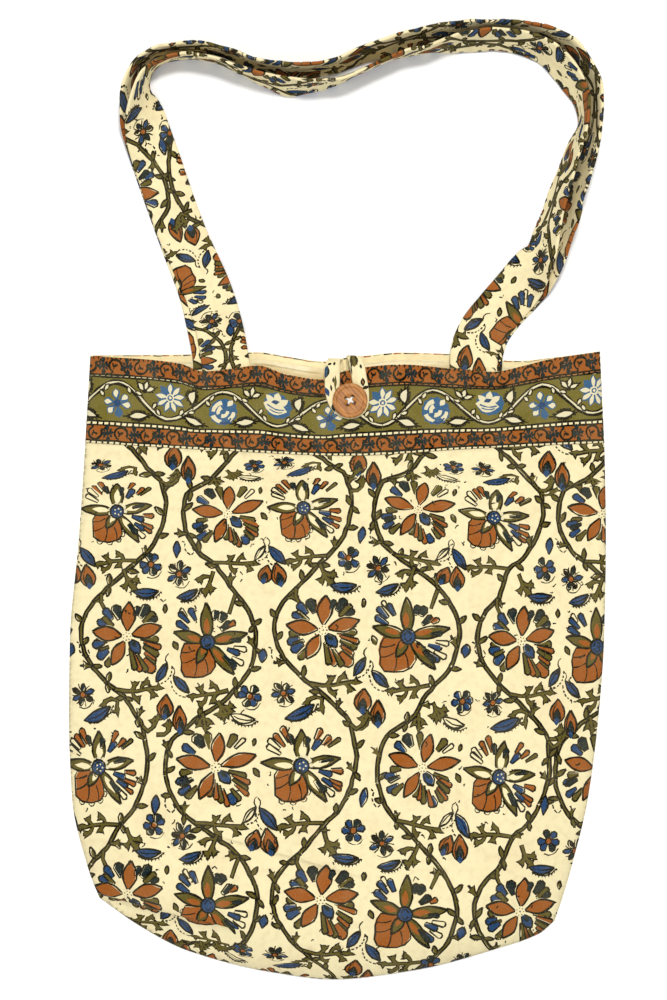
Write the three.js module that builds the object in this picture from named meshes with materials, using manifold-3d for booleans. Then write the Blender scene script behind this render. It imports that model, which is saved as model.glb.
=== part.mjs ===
// A cotton tote bag that lies on its back. Millimetres, +Z up.
// The mouth and the two handles point to +Y and the printed front faces up.
// The origin lies under the middle of the whole bag, on the surface that it rests on.
import * as THREE from "three";
import { mergeVertices } from "three/addons/utils/BufferGeometryUtils.js";
import Module from "manifold-3d";

const wasm = await Module();
wasm.setup();

// Cloth, and the gap between pieces that are sewn together or touch
const GAP = 0.3;
const CLOTH = 1.2;
const LINING = 0.9;
const LINING_DROP = 4;
const BACK_LINING_INSET = 3.6;

// Middle of the outline of the whole bag, in the frame of the tables below
const MIDDLE = { x: 0.6, y: -2.3 };

// Sides of the bag from the mouth down to the base corners
const SIDES = [
  { y: -292, left: -155, right: 151 },
  { y: -276, left: -164, right: 156.5 },
  { y: -252, left: -173, right: 163.5 },
  { y: -208, left: -183, right: 174 },
  { y: -150, left: -185.3, right: 181.5 },
  { y: -97, left: -184.6, right: 185.3 },
  { y: -28, left: -178.5, right: 186.6 },
  { y: 39, left: -174, right: 185.5 },
  { y: 102, left: -170.5, right: 182.5 },
];

// Base seam from the left corner to the right corner
const BASE = [
  { x: -164, y: -276 },
  { x: -137, y: -295 },
  { x: -102, y: -313 },
  { x: -42, y: -328 },
  { x: -2, y: -332.5 },
  { x: 55, y: -326 },
  { x: 112, y: -311 },
  { x: 140, y: -301 },
  { x: 151, y: -292 },
];

// Seam between the band and the panel below it
const BAND_SEAM = [
  { x: -174, y: 39 },
  { x: -89, y: 33.8 },
  { x: 10, y: 29.8 },
  { x: 88, y: 34.3 },
  { x: 185.5, y: 38.8 },
];

// The two rims of the mouth, and how far the front rim waves up or down
const RIM = [
  { x: -170.5, front: 98.7, back: 99.4, wave: 0 },
  { x: -130, front: 96, back: 99.8, wave: 0.6 },
  { x: -107, front: 93, back: 100, wave: 0 },
  { x: -92, front: 87.8, back: 100.5, wave: -0.4 },
  { x: -73, front: 89.5, back: 101.5, wave: 0 },
  { x: -54, front: 91.8, back: 101.6, wave: 0.5 },
  { x: -34, front: 85.6, back: 98.5, wave: -0.8 },
  { x: -8, front: 82.2, back: 95.2, wave: -2 },
  { x: 8, front: 85, back: 98, wave: -1.6 },
  { x: 22, front: 91, back: 99.4, wave: -0.4 },
  { x: 44, front: 92.5, back: 101.4, wave: 1 },
  { x: 78, front: 89.8, back: 100.4, wave: 0.2 },
  { x: 108, front: 87.6, back: 96.5, wave: -0.3 },
  { x: 127, front: 91.2, back: 95.6, wave: 0.4 },
  { x: 145, front: 95.8, back: 97.3, wave: 0.6 },
  { x: 182.5, front: 102.1, back: 102.1, wave: 0 },
];
const WAVE_REACH = 60;

// Height of the front above the side seam, down the bag
const CROWN = [
  { y: -340, height: 21 },
  { y: -260, height: 20 },
  { y: -220, height: 18 },
  { y: -150, height: 14 },
  { y: -60, height: 11.5 },
  { y: 39, height: 12 },
  { y: 102, height: 12.5 },
];

// The front turns down to the seam in a small roll and rises from there in a low dome
const EDGE_RISE = 4.5;
const SIDE_EDGE = { roll: 6, reach: 70 };
const BASE_EDGE = { roll: 10, reach: 48 };

// Creases press a groove into the front, and the tuck lowers what lies below its line
const CREASES = [
  { x0: -80, y0: -233, x1: 20, y1: -267, reach: 7, depth: 1.6 },
  { x0: -126, y0: -224, x1: -100, y1: -250, reach: 7, depth: 1.8 },
];
const TUCK = { x0: -172, y0: -268, x1: -60, y1: -293, reach: 6, depth: 6 };

// Grid of the domed cloth: columns close up at the sides and rows at the base
const COLUMNS = 28;
const BAND_ROWS = 4;
const PANEL_ROWS = 18;
const ROW_CROWDING = 1.6;

// Handles: centre line, roll of the strap (0 flat, 90 on edge) and height of its lower edge's middle
const STRAP = { width: 33, thickness: 2.2, bevel: 0.8, edge: 0.4, stepsPerRow: 2 };
const FRONT_HANDLE = [
  { x: -75, y: 62, roll: 0, rest: 9.6 },
  { x: -75.5, y: 86, roll: 0, rest: 9.6 },
  { x: -78, y: 103, roll: 0, rest: 7.2 },
  { x: -82, y: 122, roll: 0, rest: 4.2 },
  { x: -89, y: 144, roll: 0, rest: 3.9 },
  { x: -106, y: 182, roll: 0, rest: 3.9 },
  { x: -121, y: 224, roll: 0, rest: 3.9 },
  { x: -129.5, y: 254, roll: 14, rest: 3.9 },
  { x: -131.5, y: 278, roll: 55, rest: 2.4 },
  { x: -124, y: 294, roll: 80, rest: 1.5 },
  { x: -107.5, y: 301, roll: 86, rest: 1.3 },
  { x: -87, y: 300.5, roll: 86, rest: 1.3 },
  { x: -66.5, y: 294, roll: 86, rest: 1.3 },
  { x: -49, y: 287, roll: 85, rest: 1.3 },
  { x: -32, y: 282.5, roll: 84, rest: 1.3 },
  { x: -15, y: 282.5, roll: 84, rest: 1.3 },
  { x: 2.5, y: 287, roll: 86, rest: 1.3 },
  { x: 19.5, y: 295, roll: 87, rest: 1.3 },
  { x: 40, y: 303.5, roll: 87, rest: 1.3 },
  { x: 61, y: 309, roll: 85, rest: 1.3 },
  { x: 85, y: 312.5, roll: 78, rest: 1.3 },
  { x: 109, y: 313.5, roll: 73, rest: 1.3 },
  { x: 129.5, y: 310.5, roll: 69, rest: 1.3 },
  { x: 146, y: 303, roll: 66, rest: 1.3 },
  { x: 160, y: 290, roll: 66, rest: 1.3 },
  { x: 168.5, y: 275, roll: 74, rest: 1.3 },
  { x: 170, y: 259, roll: 82, rest: 1.3 },
  { x: 164, y: 240, roll: 76, rest: 1.3 },
  { x: 157, y: 219, roll: 74, rest: 1.3 },
  { x: 150.5, y: 198.5, roll: 69, rest: 1.3 },
  { x: 145.5, y: 184, roll: 62, rest: 1.6 },
  { x: 139, y: 170, roll: 45, rest: 2.4 },
  { x: 131.5, y: 158, roll: 18, rest: 3.4 },
  { x: 124.5, y: 147, roll: 4, rest: 3.9 },
  { x: 113, y: 130, roll: 0, rest: 3.9 },
  { x: 105, y: 116, roll: 0, rest: 4.4 },
  { x: 99, y: 102, roll: 0, rest: 7.2 },
  { x: 96.5, y: 86, roll: 0, rest: 9.6 },
  { x: 95, y: 62, roll: 0, rest: 9.6 },
];
const BACK_HANDLE = [
  { x: -82, y: 62, roll: 0, rest: 3.8 },
  { x: -82.3, y: 86, roll: 0, rest: 3.8 },
  { x: -83.5, y: 102, roll: 0, rest: 3.4 },
  { x: -87, y: 119, roll: 0, rest: 1.4 },
  { x: -93, y: 144, roll: 0, rest: 1.3 },
  { x: -107, y: 182, roll: 0, rest: 1.3 },
  { x: -122, y: 224, roll: 0, rest: 1.3 },
  { x: -132.5, y: 256, roll: 14, rest: 1.3 },
  { x: -138.5, y: 279, roll: 58, rest: 1.3 },
  { x: -135, y: 294, roll: 78, rest: 1.3 },
  { x: -125, y: 304, roll: 85, rest: 1.3 },
  { x: -109, y: 308, roll: 86, rest: 1.3 },
  { x: -90, y: 308.5, roll: 86, rest: 1.3 },
  { x: -71, y: 305, roll: 86, rest: 1.3 },
  { x: -52, y: 299.5, roll: 85, rest: 1.3 },
  { x: -34, y: 297, roll: 84, rest: 1.3 },
  { x: -16, y: 297.5, roll: 84, rest: 1.3 },
  { x: 1, y: 300, roll: 83, rest: 1.3 },
  { x: 18, y: 305, roll: 80, rest: 1.3 },
  { x: 33, y: 310, roll: 77, rest: 1.3 },
  { x: 50, y: 315, roll: 76, rest: 1.3 },
  { x: 68, y: 319, roll: 76, rest: 1.3 },
  { x: 92, y: 322.5, roll: 78, rest: 1.3 },
  { x: 117, y: 323.5, roll: 78, rest: 1.3 },
  { x: 137, y: 320, roll: 78, rest: 1.3 },
  { x: 157, y: 311, roll: 77, rest: 1.3 },
  { x: 171, y: 298, roll: 76, rest: 1.3 },
  { x: 178, y: 282, roll: 76, rest: 1.3 },
  { x: 179.5, y: 262, roll: 76, rest: 1.3 },
  { x: 178, y: 244, roll: 76, rest: 1.3 },
  { x: 173, y: 225, roll: 76, rest: 1.3 },
  { x: 166.5, y: 206, roll: 74, rest: 1.3 },
  { x: 161.5, y: 189, roll: 67, rest: 1.3 },
  { x: 155, y: 174, roll: 48, rest: 1.3 },
  { x: 145, y: 160, roll: 14, rest: 1.3 },
  { x: 133, y: 147, roll: 1, rest: 1.3 },
  { x: 117, y: 130, roll: 0, rest: 1.3 },
  { x: 107, y: 116, roll: 0, rest: 1.4 },
  { x: 100.5, y: 101, roll: 0, rest: 3.4 },
  { x: 98, y: 86, roll: 0, rest: 3.8 },
  { x: 97, y: 62, roll: 0, rest: 3.8 },
];

// Button loop: height above the floor inside the mouth, above the front outside it,
// and the direction in which its outer edge lies (180 left, 270 down the bag, 360 right)
const LOOP = { width: 8, thickness: 1.6, bevel: 0.5, edge: 0.4, stepsPerRow: 2, clear: 0.5 };
const LOOP_PATH = [
  { x: 2, y: 74, z: 3.5, turn: 180 },
  { x: 1, y: 90, z: 3.5, turn: 180 },
  { x: 0, y: 96.5, z: 6, turn: 180 },
  { x: -1.5, y: 95.5, z: 12, turn: 180 },
  { x: -2.5, y: 88.5, z: 15.2, turn: 180 },
  { x: -3, y: 80, above: true, turn: 180 },
  { x: -3, y: 70, above: true, turn: 190 },
  { x: 1.5, y: 61.8, above: true, turn: 230 },
  { x: 9.3, y: 58.9, above: true, turn: 270 },
  { x: 16.4, y: 61.8, above: true, turn: 310 },
  { x: 18.8, y: 70, above: true, turn: 350 },
  { x: 16.6, y: 80, above: true, turn: 360 },
  { x: 14.6, y: 90, above: true, turn: 360 },
  { x: 12.4, y: 98, z: 11.8, turn: 360 },
  { x: 11.4, y: 98.5, z: 6, turn: 360 },
  { x: 11, y: 90, z: 3.5, turn: 360 },
  { x: 11, y: 74, z: 3.5, turn: 360 },
];

// Button and its thread, whose stitches sit a little way down over the strands
const BUTTON = { x: 9.3, y: 67.6, radius: 12, thickness: 4, dish: 0.9, rim: 1.6, lift: 2.8, sides: 32 };
const HOLES = { circle: 3.2, radius: 1.1, turn: 60, count: 4, sides: 10 };
const THREAD = { strand: 0.65, shank: 3.5, stitch: 0.7, strandSides: 8, shankSides: 12 };
const SUNK = 0.1;

const FLOOR_CLOTH_TOP = CLOTH;
const SEAM_HEIGHT = FLOOR_CLOTH_TOP + GAP;
const UP = new THREE.Vector3(0, 0, 1);
const { lerp, clamp, degToRad } = THREE.MathUtils;

// Reads one column of a table as a smooth curve along another column, which rises from row to row.
// The curve never swings past the rows: it is level where they turn back.
function column(rows, along, value) {
  const secant = (i) => (rows[i + 1][value] - rows[i][value]) / (rows[i + 1][along] - rows[i][along]);
  const slopes = rows.map((_, i) => {
    const before = secant(Math.max(i - 1, 0));
    const after = secant(Math.min(i, rows.length - 2));
    return before * after > 0 ? (2 * before * after) / (before + after) : 0;
  });
  return (at) => {
    const next = rows.findIndex((row) => row[along] > at);
    const k = next < 0 ? rows.length - 2 : Math.max(next - 1, 0);
    const span = rows[k + 1][along] - rows[k][along];
    const t = clamp((at - rows[k][along]) / span, 0, 1);
    const rise = rows[k + 1][value] - rows[k][value];
    const bend = t * (1 - t) * span;
    const smooth = t * t * (3 - 2 * t);
    return rows[k][value] + rise * smooth + bend * ((1 - t) * slopes[k] - t * slopes[k + 1]);
  };
}

const leftSide = column(SIDES, "y", "left");
const rightSide = column(SIDES, "y", "right");
const baseSeam = column(BASE, "x", "y");
const bandSeam = column(BAND_SEAM, "x", "y");
const frontRim = column(RIM, "x", "front");
const backRim = column(RIM, "x", "back");
const rimWave = column(RIM, "x", "wave");
const crown = column(CROWN, "y", "height");

// A point on a curve y(x) between its two end places, s running from 0 to 1.
function along(curve, from, to, s) {
  const x = lerp(from, to, s);
  return new THREE.Vector2(x, curve(x));
}

const first = (rows) => rows[0];
const last = (rows) => rows[rows.length - 1];
const rimAt = (rim, s) => along(rim, first(RIM).x, last(RIM).x, s);
const seamAt = (s) => along(bandSeam, first(BAND_SEAM).x, last(BAND_SEAM).x, s);
const baseAt = (s) => along(baseSeam, first(BASE).x, last(BASE).x, s);

function sideAt(side, top, bottom, v) {
  const y = lerp(top.y, bottom.y, v);
  return new THREE.Vector2(side(y), y);
}

// The panel's plan, blended from its four edges: s runs left to right, v from the band down to the base.
function panelPlan(s, v) {
  const [topLeft, topRight, lowLeft, lowRight] = [seamAt(0), seamAt(1), baseAt(0), baseAt(1)];
  const leftEdge = sideAt(leftSide, topLeft, lowLeft, v);
  const rightEdge = sideAt(rightSide, topRight, lowRight, v);
  const across = leftEdge.lerp(rightEdge, s);
  const down = seamAt(s).lerp(baseAt(s), v);
  const corners = topLeft.lerp(topRight, s).lerp(lowLeft.lerp(lowRight, s), v);
  return across.add(down).sub(corners);
}

// The plan of one whole face: t runs over the band from 0 to 1 and over the panel from 1 to 2.
function facePlan(rim, s, t) {
  return t < 1 ? rimAt(rim, s).lerp(seamAt(s), t) : panelPlan(s, t - 1);
}

// The quarter circle of a rolled edge: how far it leans out and how far it has risen.
function rolledEdge(distance, roll) {
  const lean = clamp(1 - distance / roll, 0, 1);
  return { lean, rise: Math.sqrt(1 - lean * lean) };
}

function lowDome(distance, reach) {
  const short = clamp(1 - distance / reach, 0, 1);
  return 1 - short * short;
}

// Place of a point beside a fold line: share along it, and distance below it.
function besideLine(line, x, y) {
  const run = new THREE.Vector2(line.x1 - line.x0, line.y1 - line.y0);
  const to = new THREE.Vector2(x - line.x0, y - line.y0);
  const length = run.length();
  return { share: clamp(to.dot(run) / length ** 2, 0, 1), below: -run.cross(to) / length };
}

function foldDepth(x, y) {
  const tuck = besideLine(TUCK, x, y);
  const step = THREE.MathUtils.smoothstep(tuck.below, -TUCK.reach, TUCK.reach);
  const pressed = CREASES.map((crease) => {
    const place = besideLine(crease, x, y);
    const fade = Math.sin(Math.PI * place.share);
    return crease.depth * fade * Math.exp(-((place.below / crease.reach) ** 2));
  });
  return TUCK.depth * step * (1 - tuck.share ** 2) + pressed.reduce((sum, depth) => sum + depth, 0);
}

// A point of the domed front at some depth below its outer face.
function frontPoint(s, t, depth) {
  const plan = facePlan(frontRim, s, t);
  const width = facePlan(frontRim, 1, t).distanceTo(facePlan(frontRim, 0, t));
  const fromSide = width * Math.min(s, 1 - s);
  const fromBase = plan.y - baseAt(s).y;
  const side = rolledEdge(fromSide, SIDE_EDGE.roll);
  const base = rolledEdge(fromBase, BASE_EDGE.roll);
  const rise = side.rise * base.rise;
  const dome = lowDome(fromSide, SIDE_EDGE.reach) * lowDome(fromBase, BASE_EDGE.reach);
  const wave = rimWave(plan.x) * clamp(1 - (frontRim(plan.x) - plan.y) / WAVE_REACH, 0, 1) ** 2;
  const height = EDGE_RISE * rise + dome * (crown(plan.y) - EDGE_RISE + wave - foldDepth(plan.x, plan.y));
  const outward = s < 0.5 ? -1 : 1;
  return new THREE.Vector3(
    plan.x - depth * side.lean * outward,
    plan.y + depth * base.lean,
    SEAM_HEIGHT + height - depth * rise,
  );
}

// A closed mesh from triangles of vertex numbers, with flat faces.
function meshOf(points, triangles) {
  const indexed = new THREE.BufferGeometry().setFromPoints(points);
  indexed.setIndex(triangles.flat());
  const geometry = indexed.toNonIndexed();
  geometry.computeVertexNormals();
  return geometry;
}

// A sheet of cloth between two faces on one grid, closed round its edge.
function sheet(shares, rows, outerDepth, innerDepth) {
  const layers = [outerDepth, innerDepth];
  const points = layers.flatMap((depth) => rows.flatMap((t) => shares.map((s) => frontPoint(s, t, depth))));
  const across = shares.length;
  const right = across - 1;
  const at = (layer, row, k) => (layer * rows.length + row) * across + k;
  const triangles = [];
  const quad = (a, b, c, d) => triangles.push([a, b, c], [a, c, d]);
  for (let row = 0; row < rows.length - 1; row += 1) {
    for (let k = 0; k < right; k += 1) {
      quad(at(0, row, k), at(0, row + 1, k), at(0, row + 1, k + 1), at(0, row, k + 1));
      quad(at(1, row, k), at(1, row, k + 1), at(1, row + 1, k + 1), at(1, row + 1, k));
    }
    quad(at(0, row, 0), at(1, row, 0), at(1, row + 1, 0), at(0, row + 1, 0));
    quad(at(0, row + 1, right), at(1, row + 1, right), at(1, row, right), at(0, row, right));
  }
  const end = rows.length - 1;
  for (let k = 0; k < right; k += 1) {
    quad(at(0, 0, k), at(0, 0, k + 1), at(1, 0, k + 1), at(1, 0, k));
    quad(at(0, end, k + 1), at(0, end, k), at(1, end, k), at(1, end, k + 1));
  }
  return meshOf(points, triangles);
}

// Shares of the width from side to side, close together at both sides.
const SHARES = Array.from({ length: COLUMNS + 1 }, (_, k) => (1 - Math.cos((Math.PI * k) / COLUMNS)) / 2);
const evenly = (from, to, steps) => Array.from({ length: steps + 1 }, (_, k) => lerp(from, to, k / steps));
const bandSplit = GAP / 2 / (frontRim(0) - bandSeam(0));
const panelSplit = GAP / 2 / (bandSeam(0) - baseSeam(0));
const bandRows = evenly(0, 1 - bandSplit, BAND_ROWS);
const panelRows = evenly(0, 1, PANEL_ROWS).map((k) => 1 + Math.max(panelSplit, 1 - (1 - k) ** ROW_CROWDING));
const liningTop = LINING_DROP / (frontRim(0) - bandSeam(0));
const liningRows = [...evenly(liningTop, 1 - bandSplit, BAND_ROWS), ...panelRows];

// A flat sheet on the floor, from its outline.
function plate(outline, bottom, thickness) {
  const shape = new THREE.Shape(outline);
  const geometry = new THREE.ExtrudeGeometry(shape, { depth: thickness, bevelEnabled: false });
  return geometry.translate(0, 0, bottom);
}

const planOf = (point) => new THREE.Vector2(point.x, point.y);

// Outline of the back between two rows of its face, a little inside the bag's own outline.
function backOutline(top, rows, inset) {
  const inside = (s, t) => planOf(frontPoint(s, t, inset));
  const rightDown = rows.slice(1).map((t) => inside(1, t));
  const leftUp = rows.slice(1).reverse().map((t) => inside(0, t));
  const end = rows[rows.length - 1];
  const low = SHARES.slice(1, -1).reverse().map((s) => inside(s, end));
  return [...SHARES.map(top), ...rightDown, ...low, ...leftUp];
}

function backPanel() {
  const top = (s) => facePlan(backRim, s, panelRows[0]);
  return plate(backOutline(top, panelRows, 0), 0, CLOTH);
}

function backBand() {
  const rim = SHARES.map((s) => rimAt(backRim, s));
  const low = SHARES.map((s) => facePlan(backRim, s, 1 - bandSplit)).reverse();
  return plate([...rim, ...low], 0, CLOTH);
}

function backLining() {
  const end = BACK_LINING_INSET / (last(RIM).x - first(RIM).x);
  const drop = new THREE.Vector2(0, -LINING_DROP);
  const top = (s) => rimAt(backRim, lerp(end, 1 - end, s)).add(drop);
  return plate(backOutline(top, liningRows, BACK_LINING_INSET), SEAM_HEIGHT, LINING);
}

// A flat strap through stations of centre and outward direction, closed at both ends.
// Its section is a flat bar with bevelled edges, each edge face a share of the thickness.
function strapThrough(stations, { width, thickness, bevel, edge }) {
  const [w, t] = [width / 2, thickness / 2];
  const corners = [[1, edge], [1 - bevel / w, 1], [bevel / w - 1, 1], [-1, edge]];
  const section = [...corners, ...corners.map(([a, b]) => [-a, -b])];
  const points = stations.flatMap(({ centre, outward }, i) => {
    const before = stations[Math.max(i - 1, 0)].centre;
    const after = stations[Math.min(i + 1, stations.length - 1)].centre;
    const run = after.clone().sub(before).normalize();
    const side = outward.clone().addScaledVector(run, -run.dot(outward)).normalize();
    const face = run.clone().cross(side);
    return section.map(([a, b]) => centre.clone().addScaledVector(side, a * w).addScaledVector(face, b * t));
  });
  const n = section.length;
  const triangles = [];
  for (let i = 0; i < stations.length - 1; i += 1) {
    for (let k = 0; k < n; k += 1) {
      const [a, b] = [i * n + k, i * n + ((k + 1) % n)];
      triangles.push([a, b, b + n], [a, b + n, a + n]);
    }
  }
  const end = (stations.length - 1) * n;
  for (let k = 1; k < n - 1; k += 1) {
    triangles.push([0, k + 1, k], [end, end + k, end + k + 1]);
  }
  return meshOf(points, triangles);
}

// Evenly many steps along a smooth curve through the rows, each step's columns read from that curve.
function stepsThrough(rows, columns, stepsPerRow) {
  const path = new THREE.CatmullRomCurve3(rows.map((row) => new THREE.Vector3(row.x, row.y, 0)));
  const marked = rows.map((row, index) => ({ ...row, index }));
  const read = columns.map((name) => column(marked, "index", name));
  const steps = (rows.length - 1) * stepsPerRow;
  return evenly(0, 1, steps).map((share) => {
    const values = read.map((value) => value(share * (rows.length - 1)));
    return { plan: path.getPoint(share), heading: path.getTangent(share), values };
  });
}

function handle(rows) {
  const stations = stepsThrough(rows, ["roll", "rest"], STRAP.stepsPerRow).map(({ plan, heading, values }) => {
    const [roll, rest] = values;
    const tilt = degToRad(roll);
    const outward = UP.clone().cross(heading).multiplyScalar(Math.cos(tilt));
    outward.addScaledVector(UP, Math.sin(tilt));
    const centre = plan.clone().setZ(rest + (STRAP.width / 2) * Math.sin(tilt));
    return { centre, outward };
  });
  return strapThrough(stations, STRAP);
}

// Height of the front's outer face under a point of the band.
function bandHeight(x, y) {
  const s = (x - first(RIM).x) / (last(RIM).x - first(RIM).x);
  const t = (frontRim(x) - y) / (frontRim(x) - bandSeam(x));
  return frontPoint(s, clamp(t, 0, 1), 0).z;
}

function buttonLoop() {
  const above = LOOP.clear + LOOP.thickness / 2;
  const rows = LOOP_PATH.map((row) => ({ ...row, z: row.above ? bandHeight(row.x, row.y) + above : row.z }));
  const stations = stepsThrough(rows, ["z", "turn"], LOOP.stepsPerRow).map(({ plan, values }) => {
    const [z, turn] = values;
    const outward = new THREE.Vector3(Math.cos(degToRad(turn)), Math.sin(degToRad(turn)), 0);
    return { centre: plan.clone().setZ(z), outward };
  });
  return strapThrough(stations, LOOP);
}

// Solids for cutting and joining, and back to a mesh.
function solidOf(geometry) {
  const bare = geometry.clone();
  bare.deleteAttribute("normal");
  bare.deleteAttribute("uv");
  const merged = mergeVertices(bare);
  const vertProperties = new Float32Array(merged.attributes.position.array);
  const triVerts = new Uint32Array(merged.index.array);
  return new wasm.Manifold(new wasm.Mesh({ numProp: 3, vertProperties, triVerts }));
}

function geometryOf(solid) {
  const { vertProperties, triVerts } = solid.getMesh();
  const geometry = new THREE.BufferGeometry();
  geometry.setAttribute("position", new THREE.BufferAttribute(vertProperties, 3));
  geometry.setIndex(new THREE.BufferAttribute(triVerts, 1));
  return geometry.toNonIndexed();
}

function post(radius, bottom, top, sides, x = 0, y = 0) {
  const cylinder = new THREE.CylinderGeometry(radius, radius, top - bottom, sides);
  return cylinder.rotateX(Math.PI / 2).translate(x, y, (top + bottom) / 2);
}

const holePlaces = Array.from({ length: HOLES.count }, (_, k) => {
  const angle = degToRad(HOLES.turn + (360 / HOLES.count) * k);
  return { angle, x: HOLES.circle * Math.cos(angle), y: HOLES.circle * Math.sin(angle) };
});
const buttonSeat = bandHeight(BUTTON.x, BUTTON.y) + BUTTON.lift;

// A round button with a raised rim, a dished face and four holes.
function button() {
  const { radius, thickness, dish, rim } = BUTTON;
  const profile = [
    [0, 0],
    [radius - rim, 0],
    [radius, rim / 2],
    [radius, thickness - rim / 2],
    [radius - rim / 2, thickness],
    [radius - rim, thickness],
    [radius - 2 * rim, thickness - dish],
    [0, thickness - dish],
  ].map(([r, z]) => new THREE.Vector2(r, z));
  const body = new THREE.LatheGeometry(profile, BUTTON.sides).rotateX(Math.PI / 2);
  const hole = ({ x, y }) => solidOf(post(HOLES.radius, -GAP, thickness + GAP, HOLES.sides, x, y));
  return geometryOf(holePlaces.reduce((solid, place) => solid.subtract(hole(place)), solidOf(body)));
}

// Four strands through the holes, two crossing stitches on top and a wound shank below.
function buttonThread() {
  const bottom = GAP - BUTTON.lift;
  const face = BUTTON.thickness - BUTTON.dish + GAP;
  const top = face + THREAD.stitch;
  const shank = solidOf(post(THREAD.shank, bottom, -GAP, THREAD.shankSides));
  const strand = ({ x, y }) => post(THREAD.strand, bottom / 2, top - SUNK, THREAD.strandSides, x, y);
  const strands = holePlaces.map((place) => solidOf(strand(place)));
  const stitches = holePlaces.slice(0, 2).map(({ angle }) => {
    const long = 2 * (HOLES.circle + THREAD.strand);
    const bar = new THREE.BoxGeometry(long, 2 * THREAD.strand, THREAD.stitch);
    return solidOf(bar.rotateZ(angle).translate(0, 0, face + THREAD.stitch / 2));
  });
  return geometryOf([...strands, ...stitches].reduce((sum, solid) => sum.add(solid), shank));
}

// Colours, and the finished bag
const CREAM = "#f3e6c8";
const FADED_PRINT = "#d9c49a";
const OLIVE = "#7c7038";
const WOOD = "#7d4630";
const THREAD_WHITE = "#f4f1ea";

function piece(name, geometry, color, roughness) {
  const mesh = new THREE.Mesh(geometry, new THREE.MeshStandardMaterial({ color, roughness, metalness: 0 }));
  mesh.name = name;
  return mesh;
}

function onSeat(mesh) {
  mesh.position.set(BUTTON.x, BUTTON.y, buttonSeat);
  return mesh;
}

const bag = new THREE.Group();
bag.add(
  piece("front_panel", sheet(SHARES, panelRows, 0, CLOTH), FADED_PRINT, 0.9),
  piece("front_band", sheet(SHARES, bandRows, 0, CLOTH), OLIVE, 0.9),
  piece("front_lining", sheet(SHARES, liningRows, CLOTH + GAP, CLOTH + GAP + LINING), CREAM, 0.95),
  piece("back_panel", backPanel(), FADED_PRINT, 0.9),
  piece("back_band", backBand(), OLIVE, 0.9),
  piece("back_lining", backLining(), CREAM, 0.95),
  piece("front_handle", handle(FRONT_HANDLE), FADED_PRINT, 0.9),
  piece("back_handle", handle(BACK_HANDLE), FADED_PRINT, 0.9),
  piece("button_loop", buttonLoop(), CREAM, 0.9),
  onSeat(piece("button", button(), WOOD, 0.55)),
  onSeat(piece("button_thread", buttonThread(), THREAD_WHITE, 0.8)),
);
bag.position.set(-MIDDLE.x, -MIDDLE.y, 0);

export default bag;
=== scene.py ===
# A hand-printed cotton tote bag, lying on its back on a white floor and seen from straight above.
import math

import bpy
import numpy as np
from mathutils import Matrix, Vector
from mathutils.bvhtree import BVHTree
from mathutils.geometry import delaunay_2d_cdt


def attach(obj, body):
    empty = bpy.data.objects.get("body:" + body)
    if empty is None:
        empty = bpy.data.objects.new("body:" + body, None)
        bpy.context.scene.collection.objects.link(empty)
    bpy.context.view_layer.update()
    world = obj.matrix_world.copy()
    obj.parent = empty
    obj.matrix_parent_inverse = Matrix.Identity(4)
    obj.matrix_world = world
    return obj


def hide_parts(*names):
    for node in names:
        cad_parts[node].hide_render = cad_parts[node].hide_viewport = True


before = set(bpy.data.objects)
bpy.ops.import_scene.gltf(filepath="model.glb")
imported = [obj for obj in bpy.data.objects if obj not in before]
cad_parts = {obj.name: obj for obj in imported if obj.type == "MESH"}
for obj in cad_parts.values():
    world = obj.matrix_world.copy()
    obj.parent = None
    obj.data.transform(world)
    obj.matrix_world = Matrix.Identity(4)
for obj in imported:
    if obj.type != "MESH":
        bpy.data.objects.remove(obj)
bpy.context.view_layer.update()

# Millimetres of the tables below to metres of the part
MM = 0.001
MIDDLE = np.array([0.6, -2.3, 0.0])

# Cloth, and the gap between pieces that are sewn together or touch
GAP = 0.3
CLOTH = 1.2
LINING = 0.9
LINING_SLACK = 0.8
LINING_DROP = 4.0
BACK_LINING_INSET = 6.0
SEAM_HEIGHT = CLOTH + GAP

# Sides of the bag: y, left, right
SIDES = np.array([
    (-292, -155, 151), (-276, -164, 156.5), (-252, -173, 163.5), (-208, -183, 174), (-150, -185.3, 181.5),
    (-97, -184.6, 185.3), (-28, -178.5, 186.6), (39, -174, 185.5), (102, -170.5, 182.5),
])

# Base seam and band seam: x, y
BASE = np.array([
    (-164, -276), (-137, -295), (-102, -313), (-42, -328), (-2, -332.5), (55, -326), (112, -311),
    (140, -301), (151, -292),
])
BAND_SEAM = np.array([(-174, 39), (-89, 33.8), (10, 29.8), (88, 34.3), (185.5, 38.8)])

# The two rims of the mouth: x, y of the front one, y of the back one, wave of the front one
RIM = np.array([
    (-170.5, 98.7, 99.4, 0), (-130, 96, 99.8, 0.6), (-107, 93, 100, 0), (-92, 87.8, 100.5, -0.4),
    (-73, 89.5, 101.5, 0), (-54, 91.8, 101.6, 0.5), (-34, 85.6, 98.5, -0.8), (-8, 82.2, 95.2, -2),
    (5, 88, 97.6, -1.6), (22, 91, 99.4, -0.4), (44, 92.5, 101.4, 1), (78, 89.8, 100.4, 0.2),
    (108, 87.6, 96.5, -0.3), (127, 91.2, 95.6, 0.4), (145, 95.8, 97.3, 0.6), (182.5, 102.1, 102.1, 0),
])
WAVE_REACH = 60.0

# Height of the front down the bag: y, height
CROWN = np.array([(-340, 21), (-260, 20), (-220, 18), (-150, 14), (-60, 11.5), (39, 12), (102, 12.5)])
EDGE_RISE = 4.5
SIDE_ROLL, SIDE_REACH = 6.0, 70.0
BASE_ROLL, BASE_REACH = 10.0, 48.0

# Lengths that turn millimetres on the bag into shares of its width and depth
PANEL_WIDE, PANEL_DEEP = 355.0, 362.0
SIDE_RUN, CROSS_RUN = 320.0, 330.0
BAND_TALL, MOUTH_DEEP, LINING_RUN = 60.0, 56.0, 180.0

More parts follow.
